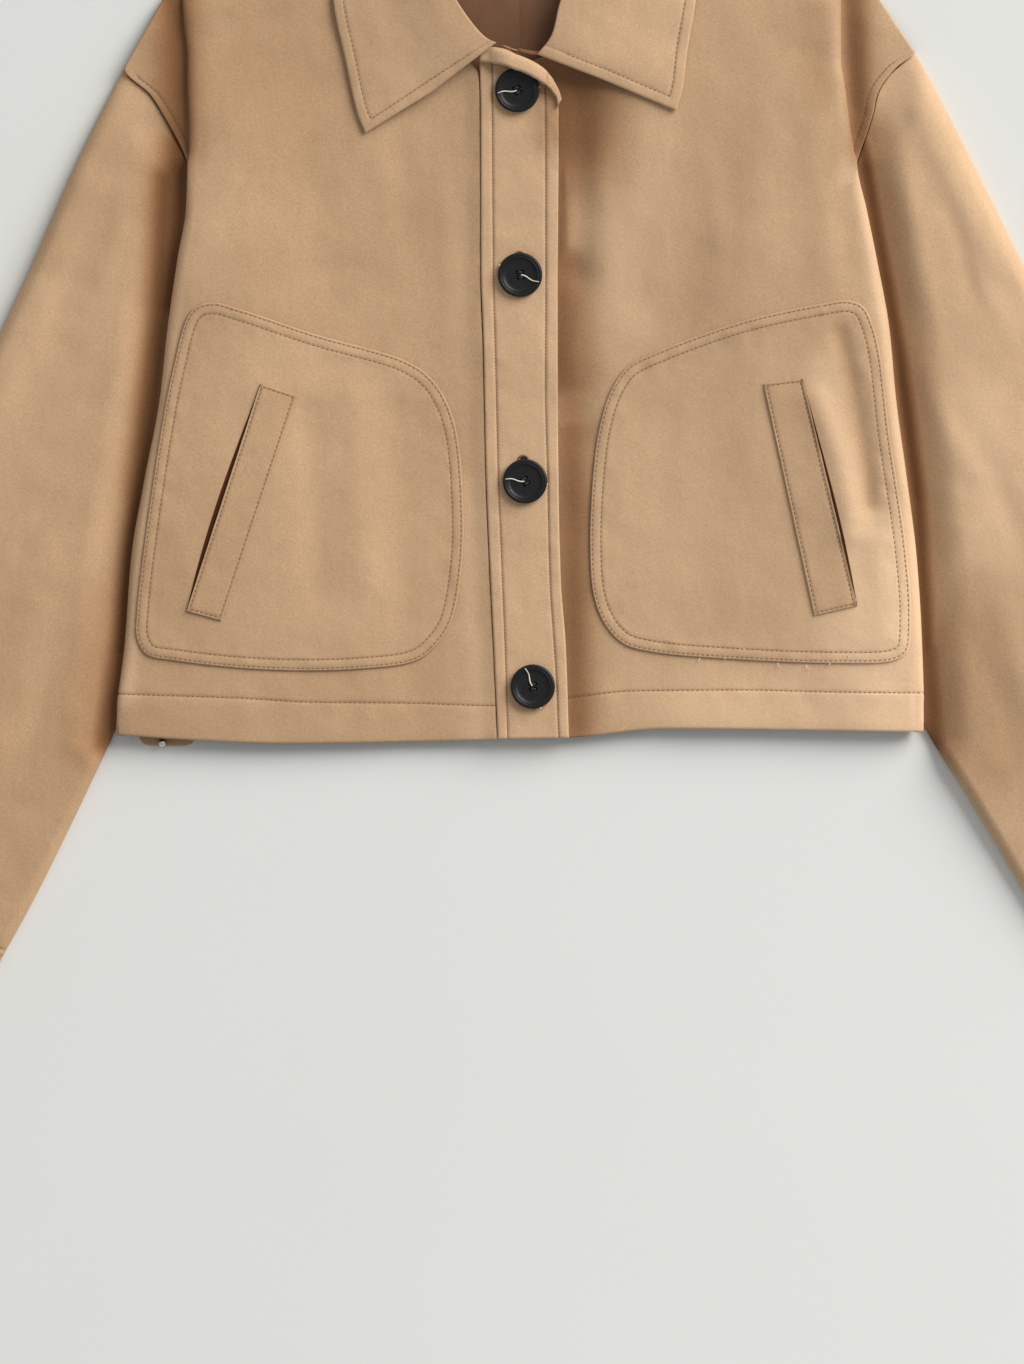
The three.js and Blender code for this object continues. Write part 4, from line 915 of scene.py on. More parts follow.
def sleeve(key, cloth):
    """A sleeve: a flattened tube. Its plan is spanned between armhole, cuff and the two folded edges; its
    crown rises out of the hollow where the body lies on it, with long slanting creases."""
    side = -1 if key == "r" else 1
    levels = (ARMHOLE_TOP[key], *ARMHOLE_LEVELS)
    hole = [(side * (float(read(BODY, "seam_" + key, y)) + 0.3), y) for y in levels]
    cuff = [SLEEVE_OUTER[key][-1], SLEEVE_INNER[key][-1]]
    rows_at = [SLEEVE_LONG - row for row in CUFF_ROWS]
    v = lines(SLEEVE_LONG, cloth.step, stitches=rows_at) / SLEEVE_LONG
    upper = lines(SLEEVE_WIDE, cloth.step) / SLEEVE_WIDE
    lower = lines(SLEEVE_WIDE, 2 * cloth.step)[::-1][1:-1] / SLEEVE_WIDE
    u = np.concatenate([upper, lower])

    # Plan: what the two pairs of opposite edges span, added, less what their four corners span.
    outer, inner = along(SLEEVE_OUTER[key], v), along(SLEEVE_INNER[key], v)
    s, t = u[None, :, None], v[:, None, None]
    hole_ends, cuff_ends = along(hole, (0, 1)), along(cuff, (0, 1))
    corners = lerp(lerp(hole_ends[0], hole_ends[1], s), lerp(cuff_ends[0], cuff_ends[1], s), t)
    lengthways = lerp(outer[:, None], inner[:, None], s)
    crossways = lerp(along(hole, u)[None], along(cuff, u)[None], t)
    plan = lengthways + crossways - corners
    x, y = plan[..., 0], plan[..., 1]
    across, down = s[..., 0], t[..., 0]

    # Upper side: the crown, pressed down where the body lies on it.
    clear = smooth((np.abs(x) - fold_x(x, y) + np.maximum(0, HEM_Y - y) * 0.8) / SLEEVE_SHADE)
    hollow = UNDER_FLAP_Z - 1.5 * smooth((-150 - y) / 50)
    beside = shoulder_top(key, side * fold_x(x, y), y) - ARM_STEP
    hollow = lerp(hollow, beside, smooth((y - FOLD_END_Y + 8) / 18))
    uneven = 0.6 * noise(x, y, 37, 31) + 0.3 * noise(x + y * 0.5, y - x * 0.5, 15, 32)
    crown = read(SLEEVE_CROWN, "z", down, by="v") - 2.5 * (2 * across - 1) ** 2
    crown = crown + creases(x, y, FOLDS, taper=False) + creases(x, y, SLEEVE_CREASES) + uneven
    top = lerp(hollow, np.maximum(crown, hollow), clear)

    # Both sides round off to the folded edges; the lower one lies on the table, lifted along its creases.
    width = np.linalg.norm(outer - inner, axis=1)[:, None]
    near, far = across * width, (1 - across) * width
    bulge = np.minimum(rounded(near, SLEEVE_EDGE_R), rounded(far, INNER_EDGE_R))
    resting = np.clip(creases(x, y, UNDER_CREASES) + 0.5 * noise(x, y, 30, 33) - 0.15, 0, 1.3)
    flat = np.minimum(rounded(near, RESTING_EDGE_R), rounded(far, RESTING_EDGE_R))
    over = np.arange(len(u)) < len(upper)
    z = np.where(over, lerp(SLEEVE_EDGE_Z, top, bulge), lerp(SLEEVE_EDGE_Z, resting, flat))

    from_cuff = (1 - down) * SLEEVE_LONG + 0 * x
    first, second = CUFF_ROWS
    sunk = hill(from_cuff - first, GROOVE_HALF) + hill(from_cuff - second, GROOVE_HALF)
    seam = hill(from_cuff - first, SHADE_HALF) + hill(from_cuff - second, SHADE_HALF)
    band = smooth((first - from_cuff) / 3) * (1 - smooth((second - from_cuff) / 4 - 4))
    pucker = noise(x, y, 8, 34) * hill(from_cuff - 21, 8)
    relief = (0.6 * cloth.puff * band - cloth.groove * sunk + cloth.pucker * pucker) * np.where(over, 1, 0.4)
    shape = skin(np.stack([x, y, z], axis=-1), CLOTH, relief, seam, ring=True, flip=side < 0)
    grid = shape[3]
    paths = []
    for place in rows_at:
        row = np.argmin(np.abs(v * SLEEVE_LONG - place))
        paths.append((grid[row, 3:len(upper) - 3], UP))
        paths.append((grid[row, len(upper) + 2:-2], DOWN))
    return shape, paths


def back(cloth):
    """The back: one flat panel from the hem to the neck, lifted a little along its creases, with a seam down
    its middle. Its upper face is the inside of the jacket."""
    half_wide = BACK_WIDE / 2
    across = lines(BACK_WIDE, cloth.step * 1.5, stitches=(half_wide,)) / half_wide - 1
    up = lines(BACK_LONG, cloth.step * 1.5, stitches=(BACK_ROW,)) / BACK_LONG
    s, t = across[None, :], up[:, None]
    rim = read(BACK_NECK, "y", np.abs(s) * BACK_NECK["x"][-1], by="x")
    hem = HEM_Y + BACK_HEM_RISE + read(HEM_LINE, "dy", s * BODY["fold_r"][0], by="x")
    level = lerp(hem, rim + BACK_SHOULDER_GAP, t)
    shoulder = smooth((level - 190) / 10)
    sewn_at = np.where(s < 0, read(BODY, "seam_r", level), read(BODY, "seam_l", level))
    x, y = s * (sewn_at - lerp(0.8, 3, shoulder)), level - BACK_SHOULDER_GAP * shoulder
    inner = smooth((240 - np.abs(x)) / 30) * smooth((y - HEM_Y) / 12)
    lift = np.clip(creases(x, y, UNDER_CREASES) + 0.5 * noise(x, y, 36, 41) - 0.15, 0, 1.4) * inner
    middle = hill(x, 1.0)
    from_hem = t * BACK_LONG - BACK_ROW
    seam = hill(x, 0.8) + hill(from_hem, 0.8)
    relief = -0.35 * middle - 0.3 * hill(from_hem, 1.0)
    face = np.stack([x, y, CLOTH + lift], axis=-1)
    points, faces, values, grid = skin(face, CLOTH - 0.35 * middle, relief, seam)
    # The upper face is the inside of the jacket and takes the inside colour, deepened with painted shade
    # where it shows in the neck.
    values["inside"] = 1 - values["inside"]
    row, column = np.argmin(np.abs(from_hem[:, 0])), np.argmin(np.abs(across))
    return (points, faces, values, grid), [(grid[row, 3:-3], UP), (grid[3:-3, column], UP)]


def placket_top(x, y):
    """Height of the placket's outer face, which lies on the fronts."""
    return front_top(x, y) + LAY_GAP + PLACKET_CLOTH


def placket(cloth):
    """The button band: a strip with a puffed border outside each row of stitches, whose sloping top edge
    curls up and forward over the first button."""
    right, left = PLACKET_ROWS
    nominal = lines(PLACKET_WIDE, cloth.step, stitches=PLACKET_ROWS)
    up = lines(PLACKET_LONG, cloth.step, rims=(0,)) / PLACKET_LONG
    level = lerp(HEM_Y, PLACKET_END_Y, up)[:, None]
    edge_r, edge_l = read(CENTRE, "placket_r", level), read(CENTRE, "placket_l", level)
    sewn_r, sewn_l = read(PLACKET_STITCHING, "right", level), read(PLACKET_STITCHING, "left", level)
    a = np.clip(nominal / right, 0, 1)
    b = np.clip((nominal - right) / (left - right), 0, 1)
    c = np.clip((nominal - left) / (PLACKET_WIDE - left), 0, 1)
    x = edge_r + (sewn_r - edge_r) * a + (sewn_l - sewn_r) * b + (edge_l - sewn_l) * c
    y = lerp(HEM_Y + read(HEM_LINE, "dy", x, by="x"), read(PLACKET_TOP, "y", x, by="x"), up[:, None])
    z = placket_top(x, y)

    # The lip: less curled at both ends of the top edge, a little ragged along it.
    last_turn = LIP["turn"][-1]
    turn = np.linspace(0, last_turn, 26)[1:, None]
    rim = x[-1]
    curl = lerp(0.3, 1, smooth((rim + 22) / 14)) * lerp(1, 0.2, smooth((rim - 8) / 15))
    forward = read(LIP, "forward", turn, by="turn") * lerp(1, 0.5, smooth((rim - 12) / 13))
    ragged = 0.5 * noise(rim, 0 * rim, 5, 51) * turn / last_turn
    lip_z = z[-1] + read(LIP, "rise", turn, by="turn") * curl
    lip = rim + 0 * turn, y[-1] + forward + ragged, lip_z
    x, y, z = (np.concatenate(parts) for parts in zip((x, y, z), lip))

    down_r, down_l = nominal[None] - right + 0 * x, nominal[None] - left + 0 * x
    border = smooth(-down_r / 2) + smooth(down_l / 2)
    sag = 0.25 * noise(x, y, 14, 52) + 0.15 * noise(x, y, 6, 53)
    relief = cloth.puff * border + sag - 1.5 * cloth.groove * (hill(down_r, 0.9) + hill(down_l, 0.9))
    relief = relief + cloth.pucker * noise(x, y, 7, 54) * (hill(down_r, 5) + hill(down_l, 5))
    seam = 2.2 * (hill(down_r, 0.55) + hill(down_l, 0.55))
    shape = skin(np.stack([x, y, z], axis=-1), PLACKET_CLOTH, relief, seam)
    shape[2]["inside"][:] = 0
    grid, last = shape[3], len(up) - 2
    return shape, [(grid[2:last, np.argmin(np.abs(nominal - row))], UP) for row in PLACKET_ROWS]


def pocket_top(x, y):
    """Height of the pockets' outer face, which lies on the fronts."""
    return front_top(x, y) + LAY_GAP + POCKET_CLOTH


def pocket(key, cloth):
    """A patch pocket: rings drawn in from its outline, with a puffed border between two rows of stitches."""
    points = np.asarray(POCKETS[key], float)
    x, y = points.T
    if np.sum(x * np.roll(y, -1) - np.roll(x, -1) * y) < 0:
        points = points[::-1]
    edge = along(points, np.arange(POCKET_STEPS) / POCKET_STEPS, closed=True)
    ahead = np.roll(edge, -3, 0) - np.roll(edge, 3, 0)
    inward = np.stack([-ahead[:, 1], ahead[:, 0]], axis=-1) / np.linalg.norm(ahead, axis=1, keepdims=True)
    rings = lines(POCKET_BORDER, 1.4, stitches=POCKET_ROWS, rims=(0,))
    border = edge[None] + inward[None] * rings[:, None, None]
    middle = edge.mean(axis=0)
    shares = np.linspace(1, 0.02, int(105 / cloth.step))[1:, None, None]
    plan = np.concatenate([border, middle + (border[-1:] - middle) * shares])
    deep = np.concatenate([rings, POCKET_BORDER + (1 - shares[:, 0, 0]) * POCKET_DEPTH])[:, None]
    x, y = plan[..., 0], plan[..., 1]
    near, far = POCKET_ROWS
    puff = smooth(deep / near) * (1 - smooth((deep - far) / 3))
    sunk = hill(deep - near, 0.9) * 0.8 + hill(deep - far, GROOVE_HALF)
    pucker = noise(x, y, 7, 61) * hill(deep - far, 6) + 0.6 * noise(x, y, 11, 62) * hill(deep - 14, 10)
    relief = cloth.puff * puff + cloth.pucker * pucker - cloth.groove * sunk
    seam = hill(deep - near, 0.6) * 0.7 + hill(deep - far, SHADE_HALF) + 0 * x
    face = np.stack([x, y, pocket_top(x, y)], axis=-1)
    shape = skin(face, POCKET_CLOTH, relief, seam, ring=True, patch=True)
    grid = shape[3]
    rows = [np.argmin(np.abs(rings - place)) for place in POCKET_ROWS]
    return shape, [(np.concatenate([grid[row], grid[row, :1]]), UP) for row in rows]


def welt(key, cloth):
    """The welt of a hand opening: a strip on the pocket with stitches all round, beside the slit, a thin
    sheet coloured dark with painted shade.
    """
    upper_a, lower_a, upper_b, lower_b = (np.asarray(corner, float) for corner in WELTS[key])
    rows_down = WELT_ROW, WELT_LONG - WELT_ROW
    rows_over = WELT_ROW, WELT_WIDE - WELT_ROW
    down = lines(WELT_LONG, cloth.step, stitches=rows_down) / WELT_LONG
    over = lines(WELT_WIDE, 1.6, stitches=rows_over)
    slit = np.array((-1, -0.9, -0.7, -0.45, -0.2, -0.05))  # shares of the slit's width
    place = np.concatenate([slit, over])
    in_slit = place[None] < 0
    t = down[:, None]
    gape = SLIT_WIDE[key] * np.sin(np.pi * np.clip(t, 0, 1) ** 1.25) ** 0.9 + 0.05
    across = np.where(in_slit, place * gape, place) / WELT_WIDE
    start, end = lerp(upper_a, lower_a, t), lerp(upper_b, lower_b, t)
    plan = start[:, None] + (end - start)[:, None] * across[..., None]
    x, y = plan[..., 0], plan[..., 1]
    z = pocket_top(x, y) + np.where(in_slit, 0.12, LAY_GAP + WELT_CLOTH)
    thick = np.where(in_slit, 0.3, WELT_CLOTH) + 0 * x
    from_rows = [place[None] - WELT_ROW, WELT_WIDE - WELT_ROW - place[None]]
    from_rows.append(np.minimum(t, 1 - t) * WELT_LONG - WELT_ROW)
    sewn = np.clip(sum(hill(away, 0.9) for away in from_rows), 0, 1) * ~in_slit
    relief = -0.8 * cloth.groove * sewn + 0.2 * noise(x, y, 9, 71)
    # The sheet in the slit is marked for painted shade: it takes the dark inside colour and a low tone.
    seam = np.where(in_slit, SLIT_SHADE_MARK * (place[None] > -0.95), 0.8 * sewn)
    shape = skin(np.stack([x, y, z], axis=-1), thick, relief * ~in_slit, seam, flip=key == "r")
    shape[2]["inside"] = np.maximum(shape[2]["inside"], shape[2]["seam"] >= SLIT_SHADE_MARK)
    grid = shape[3]
    left, right = (np.argmin(np.abs(place - row)) for row in rows_over)
    top, foot = (np.argmin(np.abs(down * WELT_LONG - row)) for row in rows_down)
    sides = [(grid[top:foot + 1, column], UP) for column in (left, right)]
    return shape, sides + [(grid[row, left:right + 1], UP) for row in (top, foot)]


def collar_points(part, lift=0.0):
    """Places of one line of the collar, raised by the lift."""
    return np.stack([COLLAR[part + "_x"], COLLAR[part + "_y"], COLLAR[part + "_z"] + lift], axis=-1)


def stand(cloth):
    """The collar stand: a band round the neck, from its seam on the body up to just under the fold of the
    leaf. Behind, it starts on the back; in front, a share of its height above the seam."""
    neck = np.concatenate([collar_points("neck"), [STAND_END["neck"]]])
    roll = np.concatenate([collar_points("roll", -1), [np.subtract(STAND_END["roll"], (0, 0, 1))]])
    t = lines(STAND_LONG, cloth.step) / STAND_LONG
    level = neck[:, 1:2]
    root = STAND_ROOT * (1 - smooth((level - 270) / 25))
    foot = (0, 0, STAND_FOOT) * smooth((level - 290) / 15)
    band = [curve(lerp(neck, roll, root) - foot, t)]
    for share, bulge in ((0.4, 0.5), (0.66, 0.5), (0.9, 0)):
        band.append(curve(lerp(neck, roll, share) + (0, 0, bulge), t))
    across = lines(STAND_WIDE, cloth.step, stitches=(STAND_ROW,)) / STAND_WIDE
    face = curve(np.stack(band), across).transpose(1, 0, 2)
    x, y = face[..., 0], face[..., 1]
    from_row = across[None] * STAND_WIDE - STAND_ROW + 0 * x
    relief = 0.25 * noise(x, y, 11, 81) - cloth.groove * hill(from_row, GROOVE_HALF)
    return skin(face, CLOTH, relief, hill(from_row, SHADE_HALF)), []


def leaf(cloth):
    """The collar leaf: it falls from its rolled top edge on to the fronts, with a puffed border outside one
    row of stitches along its free edge and both ends."""
    roll = collar_points("roll", 2.2)
    fall, edge = collar_points("fall"), collar_points("edge")
    fall[:, 2] += ground(fall[:, 0], fall[:, 1])
    edge[:, 2] += ground(edge[:, 0], edge[:, 1])
    profile = [
        (roll, fall, 0, 0), (roll, fall, 0.3, 1.0), (roll, fall, 0.65, 1.0), (fall, edge, 0, 0.4),
        (fall, edge, 0.4, 0.2), (fall, edge, 0.75, 0), (fall, edge, 1, 0),
    ]
    spread = np.linspace(0, 1, 400)
    run = lengths(curve(fall, spread))
    place = lines(run[-1], cloth.step * 0.8, stitches=(EDGE_BAND, run[-1] - EDGE_BAND))
    t = np.interp(place, run, spread)
    band = [curve(lerp(a, b, share) + (0, 0, bulge), t) for a, b, share, bulge in profile]
    dense = curve(np.stack(band), np.linspace(0, 1, 120)).transpose(1, 0, 2)

    # Each line across keeps its places near the free edge and spreads the others over its own length.
    nominal = lines(LEAF_WIDE, cloth.step * 0.8, stitches=(EDGE_BAND,))
    rows = []
    for line in dense:
        down = lengths(line)
        total = down[-1]
        spread_in = LEAF_EVEN + (nominal - LEAF_EVEN) * (total - LEAF_EVEN) / (LEAF_WIDE - LEAF_EVEN)
        at = np.where(nominal < LEAF_EVEN, nominal, spread_in)
        rows.append(np.stack([np.interp(total - at, down, c) for c in line.T], axis=-1))
    face = np.stack(rows)[:, ::-1]
    x, y = face[..., 0], face[..., 1]
    from_edge = nominal[::-1][None] + 0 * x
    from_end = np.minimum(place, run[-1] - place)[:, None] + 0 * x
    near = np.minimum(from_edge, from_end)
    puff = smooth(near / 2) * (1 - smooth((near - EDGE_BAND + 1) / 2))
    uneven = 0.4 * noise(x, y, 23, 91) + 0.2 * noise(x, y, 9, 92)
    relief = 1.2 * cloth.puff * puff - cloth.groove * hill(near - EDGE_BAND, GROOVE_HALF)
    relief = relief + uneven * smooth(from_edge / 10)
    relief = relief + cloth.pucker * noise(x, y, 7, 93) * hill(near - EDGE_BAND, 5)
    shape = skin(face, COLLAR_CLOTH, relief, hill(near - EDGE_BAND, SHADE_HALF), flip=True)
    grid = shape[3]
    column = np.argmin(np.abs(from_edge[0] - EDGE_BAND))
    first, last = np.argmin(np.abs(place - EDGE_BAND)), np.argmin(np.abs(run[-1] - place - EDGE_BAND))
    ends = [(grid[row, 8:column], UP) for row in (first, last)]
    return shape, [(grid[first:last + 1, column], UP)] + ends


def revolve(profile, around=96):
    """Rings of points round the Z axis from a line of radius and height."""
    turn = np.linspace(0, 2 * np.pi, around, endpoint=False)
    radius, height = np.asarray(profile, float).T
    x, y = np.outer(radius, np.cos(turn)), np.outer(radius, np.sin(turn))
    return np.stack([x, y, np.repeat(height[:, None], around, 1)], axis=-1)


def on_circle(radius, degrees):
    """Point of a circle round the origin."""
    turn = np.radians(degrees)
    return np.array((radius * np.cos(turn), radius * np.sin(turn)))


def button_face():
    """Rings of one coat button: foot, rounded side, raised rim with a fine groove, and a dished middle with
    four holes sunk into it."""
    side = [
        (0.4, 0), (11.6, 0), (12.6, 0.25), (13.4, 0.8), (13.9, 1.6), (BUTTON_RADIUS, 2.4), (13.75, 3.1),
        (13.3, 3.5), (12.8, 3.62), (12.3, 3.6), (12.0, 3.5), (11.8, 3.3), (11.6, 3.3), (11.4, 3.45),
        (11.1, 3.45), (10.8, 3.2), (10.4, 2.8), (9.8, 2.5), (9.0, 2.35), (7.5, 2.3), (5.6, 2.3),
    ]
    middle = [(radius, 2.3) for radius in np.arange(4.2, 0.3, -0.15)]
    rings = revolve(side + middle)
    for angle in BUTTON_HOLES:
        x, y = on_circle(HOLE_AT, angle)
        away = np.hypot(rings[..., 0] - x, rings[..., 1] - y)
        rings[..., 2] -= np.where(rings[..., 2] > 2, 1.9 * (1 - smooth((away - 0.75) / 0.5)), 0)
    return rings


def cross_thread(first, second):
    """A thread that comes up through one hole of a button, arches over its middle and goes down the next."""
    share = np.linspace(0, 1, 9)[:, None]
    arch = np.sin(np.pi * share)
    height = 2.45 + 0.5 * arch - 1.2 * (1 - smooth(3 * arch))
    line = np.hstack([lerp(on_circle(HOLE_AT, first), on_circle(HOLE_AT, second), share), height])
    return line, 0.42


def thread_end(away):
    """A loose end that leads from a button's middle on to its rim in a light wave, thinner at its tip."""
    run = np.linspace(0.5, 12.6, 14)
    wave = 0.5 * np.sin(run * 0.55)
    cos, sin = on_circle(1, away)
    line = np.stack([run * cos - wave * sin, run * sin + wave * cos, 2.9 + 1.2 * smooth((run - 7) / 4)], 1)
    return line, 0.42 * (1 - 0.4 * (run / run[-1]) ** 2)


def knot(away):
    """A small upright knot of thread beside a button's rim."""
    rise = np.linspace(-1.0, 1.2, 6)
    cos, sin = on_circle(1, away)
    reach = BUTTON_RADIUS + 0.1 + 0.2 * rise
    radius = 0.6 * np.sqrt(1 - np.linspace(-0.95, 0.95, 6) ** 2)
    return np.stack([reach * cos, reach * sin, 1.8 + rise], 1), radius


def buttonhole(x, y, rim):
    """Edge of worked thread and, as a thin black disc of painted shade, the gap of the part of a buttonhole
    that shows above its button.
    """
    turn = np.radians(np.linspace(-20, 200, 60))
    px, py = x + rim * np.cos(turn), y + rim * 0.9 * np.sin(turn)
    ripple = 0.75 + 0.16 * np.sin(np.arange(60) * 1.9)
    edge = tube(np.stack([px, py, placket_top(px, py) + 0.25], 1), ripple)
    points, faces = closed(revolve([(0.2, 0), (rim - 0.6, 0), (rim - 0.5, 0.12), (0.2, 0.16)], 24))
    return edge, (points + (x, y, float(placket_top(x, y)) + 0.05), faces)


def fray(x, y, turn, long):
    """A loose thread that bends off from the lower edge of a pocket and rises a little."""
    run = np.linspace(0, 1, 7)
    bend = np.radians(turn) + 1.6 * run
    px, py = x + np.cumsum(np.cos(bend)) * long / 7, y + np.cumsum(np.sin(bend)) * long / 7
    return tube(np.stack([px, py, pocket_top(px, py) - 0.3 + 0.8 * run], 1), 0.22, 6)


def hem_tab():
    """The tab at the back hem: a flat strip from the hem down to its rounded outline."""
    left, right = TAB_OUTLINE["x"][0], TAB_OUTLINE["x"][-1]
    across = lines(right - left, 0.8)[None]
    down = lines(8, 0.8)[:, None] / 8
    x = left + across
    y = lerp(lerp(*TAB_ROOT, across / (right - left)), read(TAB_OUTLINE, "y", x, by="x"), down)
    x = x + 0 * y
    shape = skin(np.stack([x, y, CLOTH + 0 * x], axis=-1), CLOTH, flip=True)
    shape[2]["inside"][:] = 0
    return shape


def stud():
    """The metal ball and its low foot on the tab."""
    ball = [(2.55 * np.cos(a), 2.6 * np.sin(a)) for a in np.radians(np.linspace(-86, 86, 24))]
    foot = [(0.3, -2.75), (2.0, -2.75), (2.2, -2.6), (2.1, -2.3), (0.3, -2.25)]
    points, faces = join([closed(revolve(ball, 48)), closed(revolve(foot, 32))])
    return points + STUD_AT, faces


class Shader:
    """A material with its node tree, and short calls that add and join nodes."""

    def __init__(self, name, **sockets):
        """Values of the surface's own sockets are given by their names, with _ for a space."""
        self.material = bpy.data.materials.new(name)
        self.material.use_nodes = True
        self.tree = self.material.node_tree
        self.surface = self.tree.nodes["Principled BSDF"]
        for socket, value in sockets.items():
            self.surface.inputs[socket.replace("_", " ")].default_value = value

    def node(self, kind, **settings):
        """A node; a setting that starts with in_ is the value or the link of the socket of that number."""
        node = self.tree.nodes.new(kind)
        for key, value in settings.items():
            if not key.startswith("in_"):
                setattr(node, key, value)
                continue
            socket = node.inputs[int(key[3:])]
            if isinstance(value, bpy.types.NodeSocket):
                self.tree.links.new(value, socket)
            else:
                socket.default_value = value
        return node

    def join(self, output, socket):
        """Leads an output into a socket of the surface."""
        self.tree.links.new(output, self.surface.inputs[socket])

    def place(self, scale=(1, 1, 1), turn=0.0):
        """Object coordinates, stretched and turned about Z."""
        at = self.node("ShaderNodeTexCoord").outputs["Object"]
        mapping = self.node("ShaderNodeMapping", in_0=at)
        mapping.inputs["Scale"].default_value = scale
        mapping.inputs["Rotation"].default_value = (0, 0, turn)
        return mapping.outputs[0]

    def noise(self, at, scale, detail=3.0, rough=0.55):
        """Noise from 0 to 1; the scale is in cells for each metre."""
        node = self.node("ShaderNodeTexNoise", in_0=at)
        node.inputs["Scale"].default_value = scale
        node.inputs["Detail"].default_value = detail
        node.inputs["Roughness"].default_value = rough
        return node.outputs["Fac"]

    def ranged(self, value, low, high, to_low, to_high):
        """A value stretched from one range to another, and held at its ends."""
        node = self.node("ShaderNodeMapRange", in_0=value)
        for i, number in enumerate((low, high, to_low, to_high)):
            node.inputs[i + 1].default_value = number
        return node.outputs[0]

    def mixed(self, share, a, b, kind="MIX"):
        """Two colours mixed by the share of the second."""
        node = self.node("ShaderNodeMix", data_type="RGBA", blend_type=kind)
        for socket, value in ((node.inputs[0], share), (node.inputs[6], a), (node.inputs[7], b)):
            if isinstance(value, bpy.types.NodeSocket):
                self.tree.links.new(value, socket)
            else:
                socket.default_value = value
        return node.outputs[2]

    def scaled(self, colour, share):
        """A colour made lighter or darker."""
        colour = colour if isinstance(colour, bpy.types.NodeSocket) else colour[:3]
        return self.node("ShaderNodeVectorMath", operation="SCALE", in_0=colour, in_3=share).outputs[0]

    def attribute(self, name):
        """A value that the piece carries on its points."""
        return self.node("ShaderNodeAttribute", attribute_name=name).outputs["Fac"]

    def bump(self, height, strength, distance, under=None):
        """Fine relief in the surface's normal, on top of another one if that is given."""
        node = self.node("ShaderNodeBump")
        node.inputs["Strength"].default_value = strength
        node.inputs["Distance"].default_value = distance
        self.tree.links.new(height, node.inputs["Height"])
        if under is not None:
            self.tree.links.new(under, node.inputs["Normal"])
        return node.outputs[0]


def rgb(colour):
    """A colour with full opacity for a node."""
    return (*colour[:3], 1.0)


def suede_material(look):
    """Napped suede: soft mottling, drawn-out streaks, fine nap and a faint sheen. The seam value darkens rows
    of stitches, inside gives the back of the suede deepened with painted shade, and tone paints light and
    shade into the nap's colour."""
    m = Shader(
        "suede_napped", Roughness=0.96, Sheen_Weight=0.12, Sheen_Roughness=0.5, Specular_IOR_Level=0.15,
        Sheen_Tint=(1.0, 0.9, 0.8, 1))
    at = m.place()
    drawn_out = m.place((1, 0.22, 1), 0.25)
    broad, patchy = m.noise(at, 14, 2), m.noise(at, 62, 3, 0.6)
    streaks, nap, grain = m.noise(drawn_out, 190, 3, 0.6), m.noise(at, 900, 2, 0.7), m.noise(at, 2600, 2)
    colour = m.mixed(m.ranged(broad, 0.35, 0.65, 0, 1), rgb(look.dark), rgb(look.light))
    colour = m.scaled(colour, m.ranged(patchy, 0.3, 0.7, 0.982, 1.018))
    colour = m.scaled(colour, m.ranged(streaks, 0.3, 0.7, 0.975, 1.025))
    colour = m.scaled(colour, m.ranged(nap, 0.3, 0.7, 0.88, 1.12))
    # Tone carries painted light and shade, with a little random unevenness.
    tone = m.attribute("tone")
    # The inside colour, deepened with painted shade.
    shaded_inside = m.scaled(rgb(look.inside), m.ranged(patchy, 0.3, 0.7, 0.9, 1.1))
    colour = m.mixed(m.attribute("inside"), colour, shaded_inside)
    colour = m.mixed(m.ranged(m.attribute("seam"), 0, 1, 0, look.seam), colour, rgb(look.stitched))
    # Painted shade turns redder as it deepens, and painted light turns paler towards the pale colour.
    shade_warmth = m.mixed(m.ranged(tone, 0.3, 1, 1, 0), (1, 1, 1, 1), DEEP_SHADE)
    shaded = m.mixed(1.0, m.scaled(colour, tone), shade_warmth, "MULTIPLY")
    # Painted light: high tone turns the nap towards the pale colour.
    m.join(m.mixed(m.ranged(tone, 1, 1.4, 0, 0.35), shaded, rgb(look.pale)), "Base Color")
    rough = m.bump(m.noise(at, 330, 3), 0.25, 0.0006)
    m.join(m.bump(grain, 0.3, 0.00025, rough), "Normal")
    return m.material


def thread_material(name, colour):
    """Spun thread: a slightly uneven colour with twisted ply."""
    m = Shader(name, Roughness=0.8, Sheen_Weight=0.1)
    at = m.place()
    colour = m.scaled(rgb(colour), m.ranged(m.noise(at, 700, 2), 0.3, 0.7, 0.85, 1.12))
    m.join(colour, "Base Color")
    m.join(m.bump(m.noise(at, 2400, 2), 0.4, 0.0002), "Normal")
    return m.material


def resin_material(look):
    """Black button resin with a soft gloss, faint scratches and slight unevenness."""
    m = Shader("button_resin", Roughness=0.42, Coat_Weight=0.05, Coat_Roughness=0.35, Specular_IOR_Level=0.28)
    at = m.place()
    scratched = m.place((1, 9, 1), 0.6)
    m.join(m.scaled(rgb(look.button), m.ranged(m.noise(at, 420), 0.3, 0.7, 0.8, 1.25)), "Base Color")
    m.join(m.ranged(m.noise(scratched, 300, 4), 0.35, 0.65, 0.34, 0.52), "Roughness")
    m.join(m.bump(m.noise(at, 600, 3), 0.12, 0.0002), "Normal")
    return m.material


def stud_material():
    """Polished nickel with fine turning marks."""
    m = Shader("stud_nickel", Metallic=1.0, Roughness=0.22)
    at = m.place()
    m.join(m.scaled((0.72, 0.71, 0.69, 1), m.ranged(m.noise(at, 900), 0.3, 0.7, 0.92, 1.05)), "Base Color")
    m.join(m.ranged(m.noise(m.place((1, 1, 14)), 500), 0.3, 0.7, 0.16, 0.32), "Roughness")
    return m.material


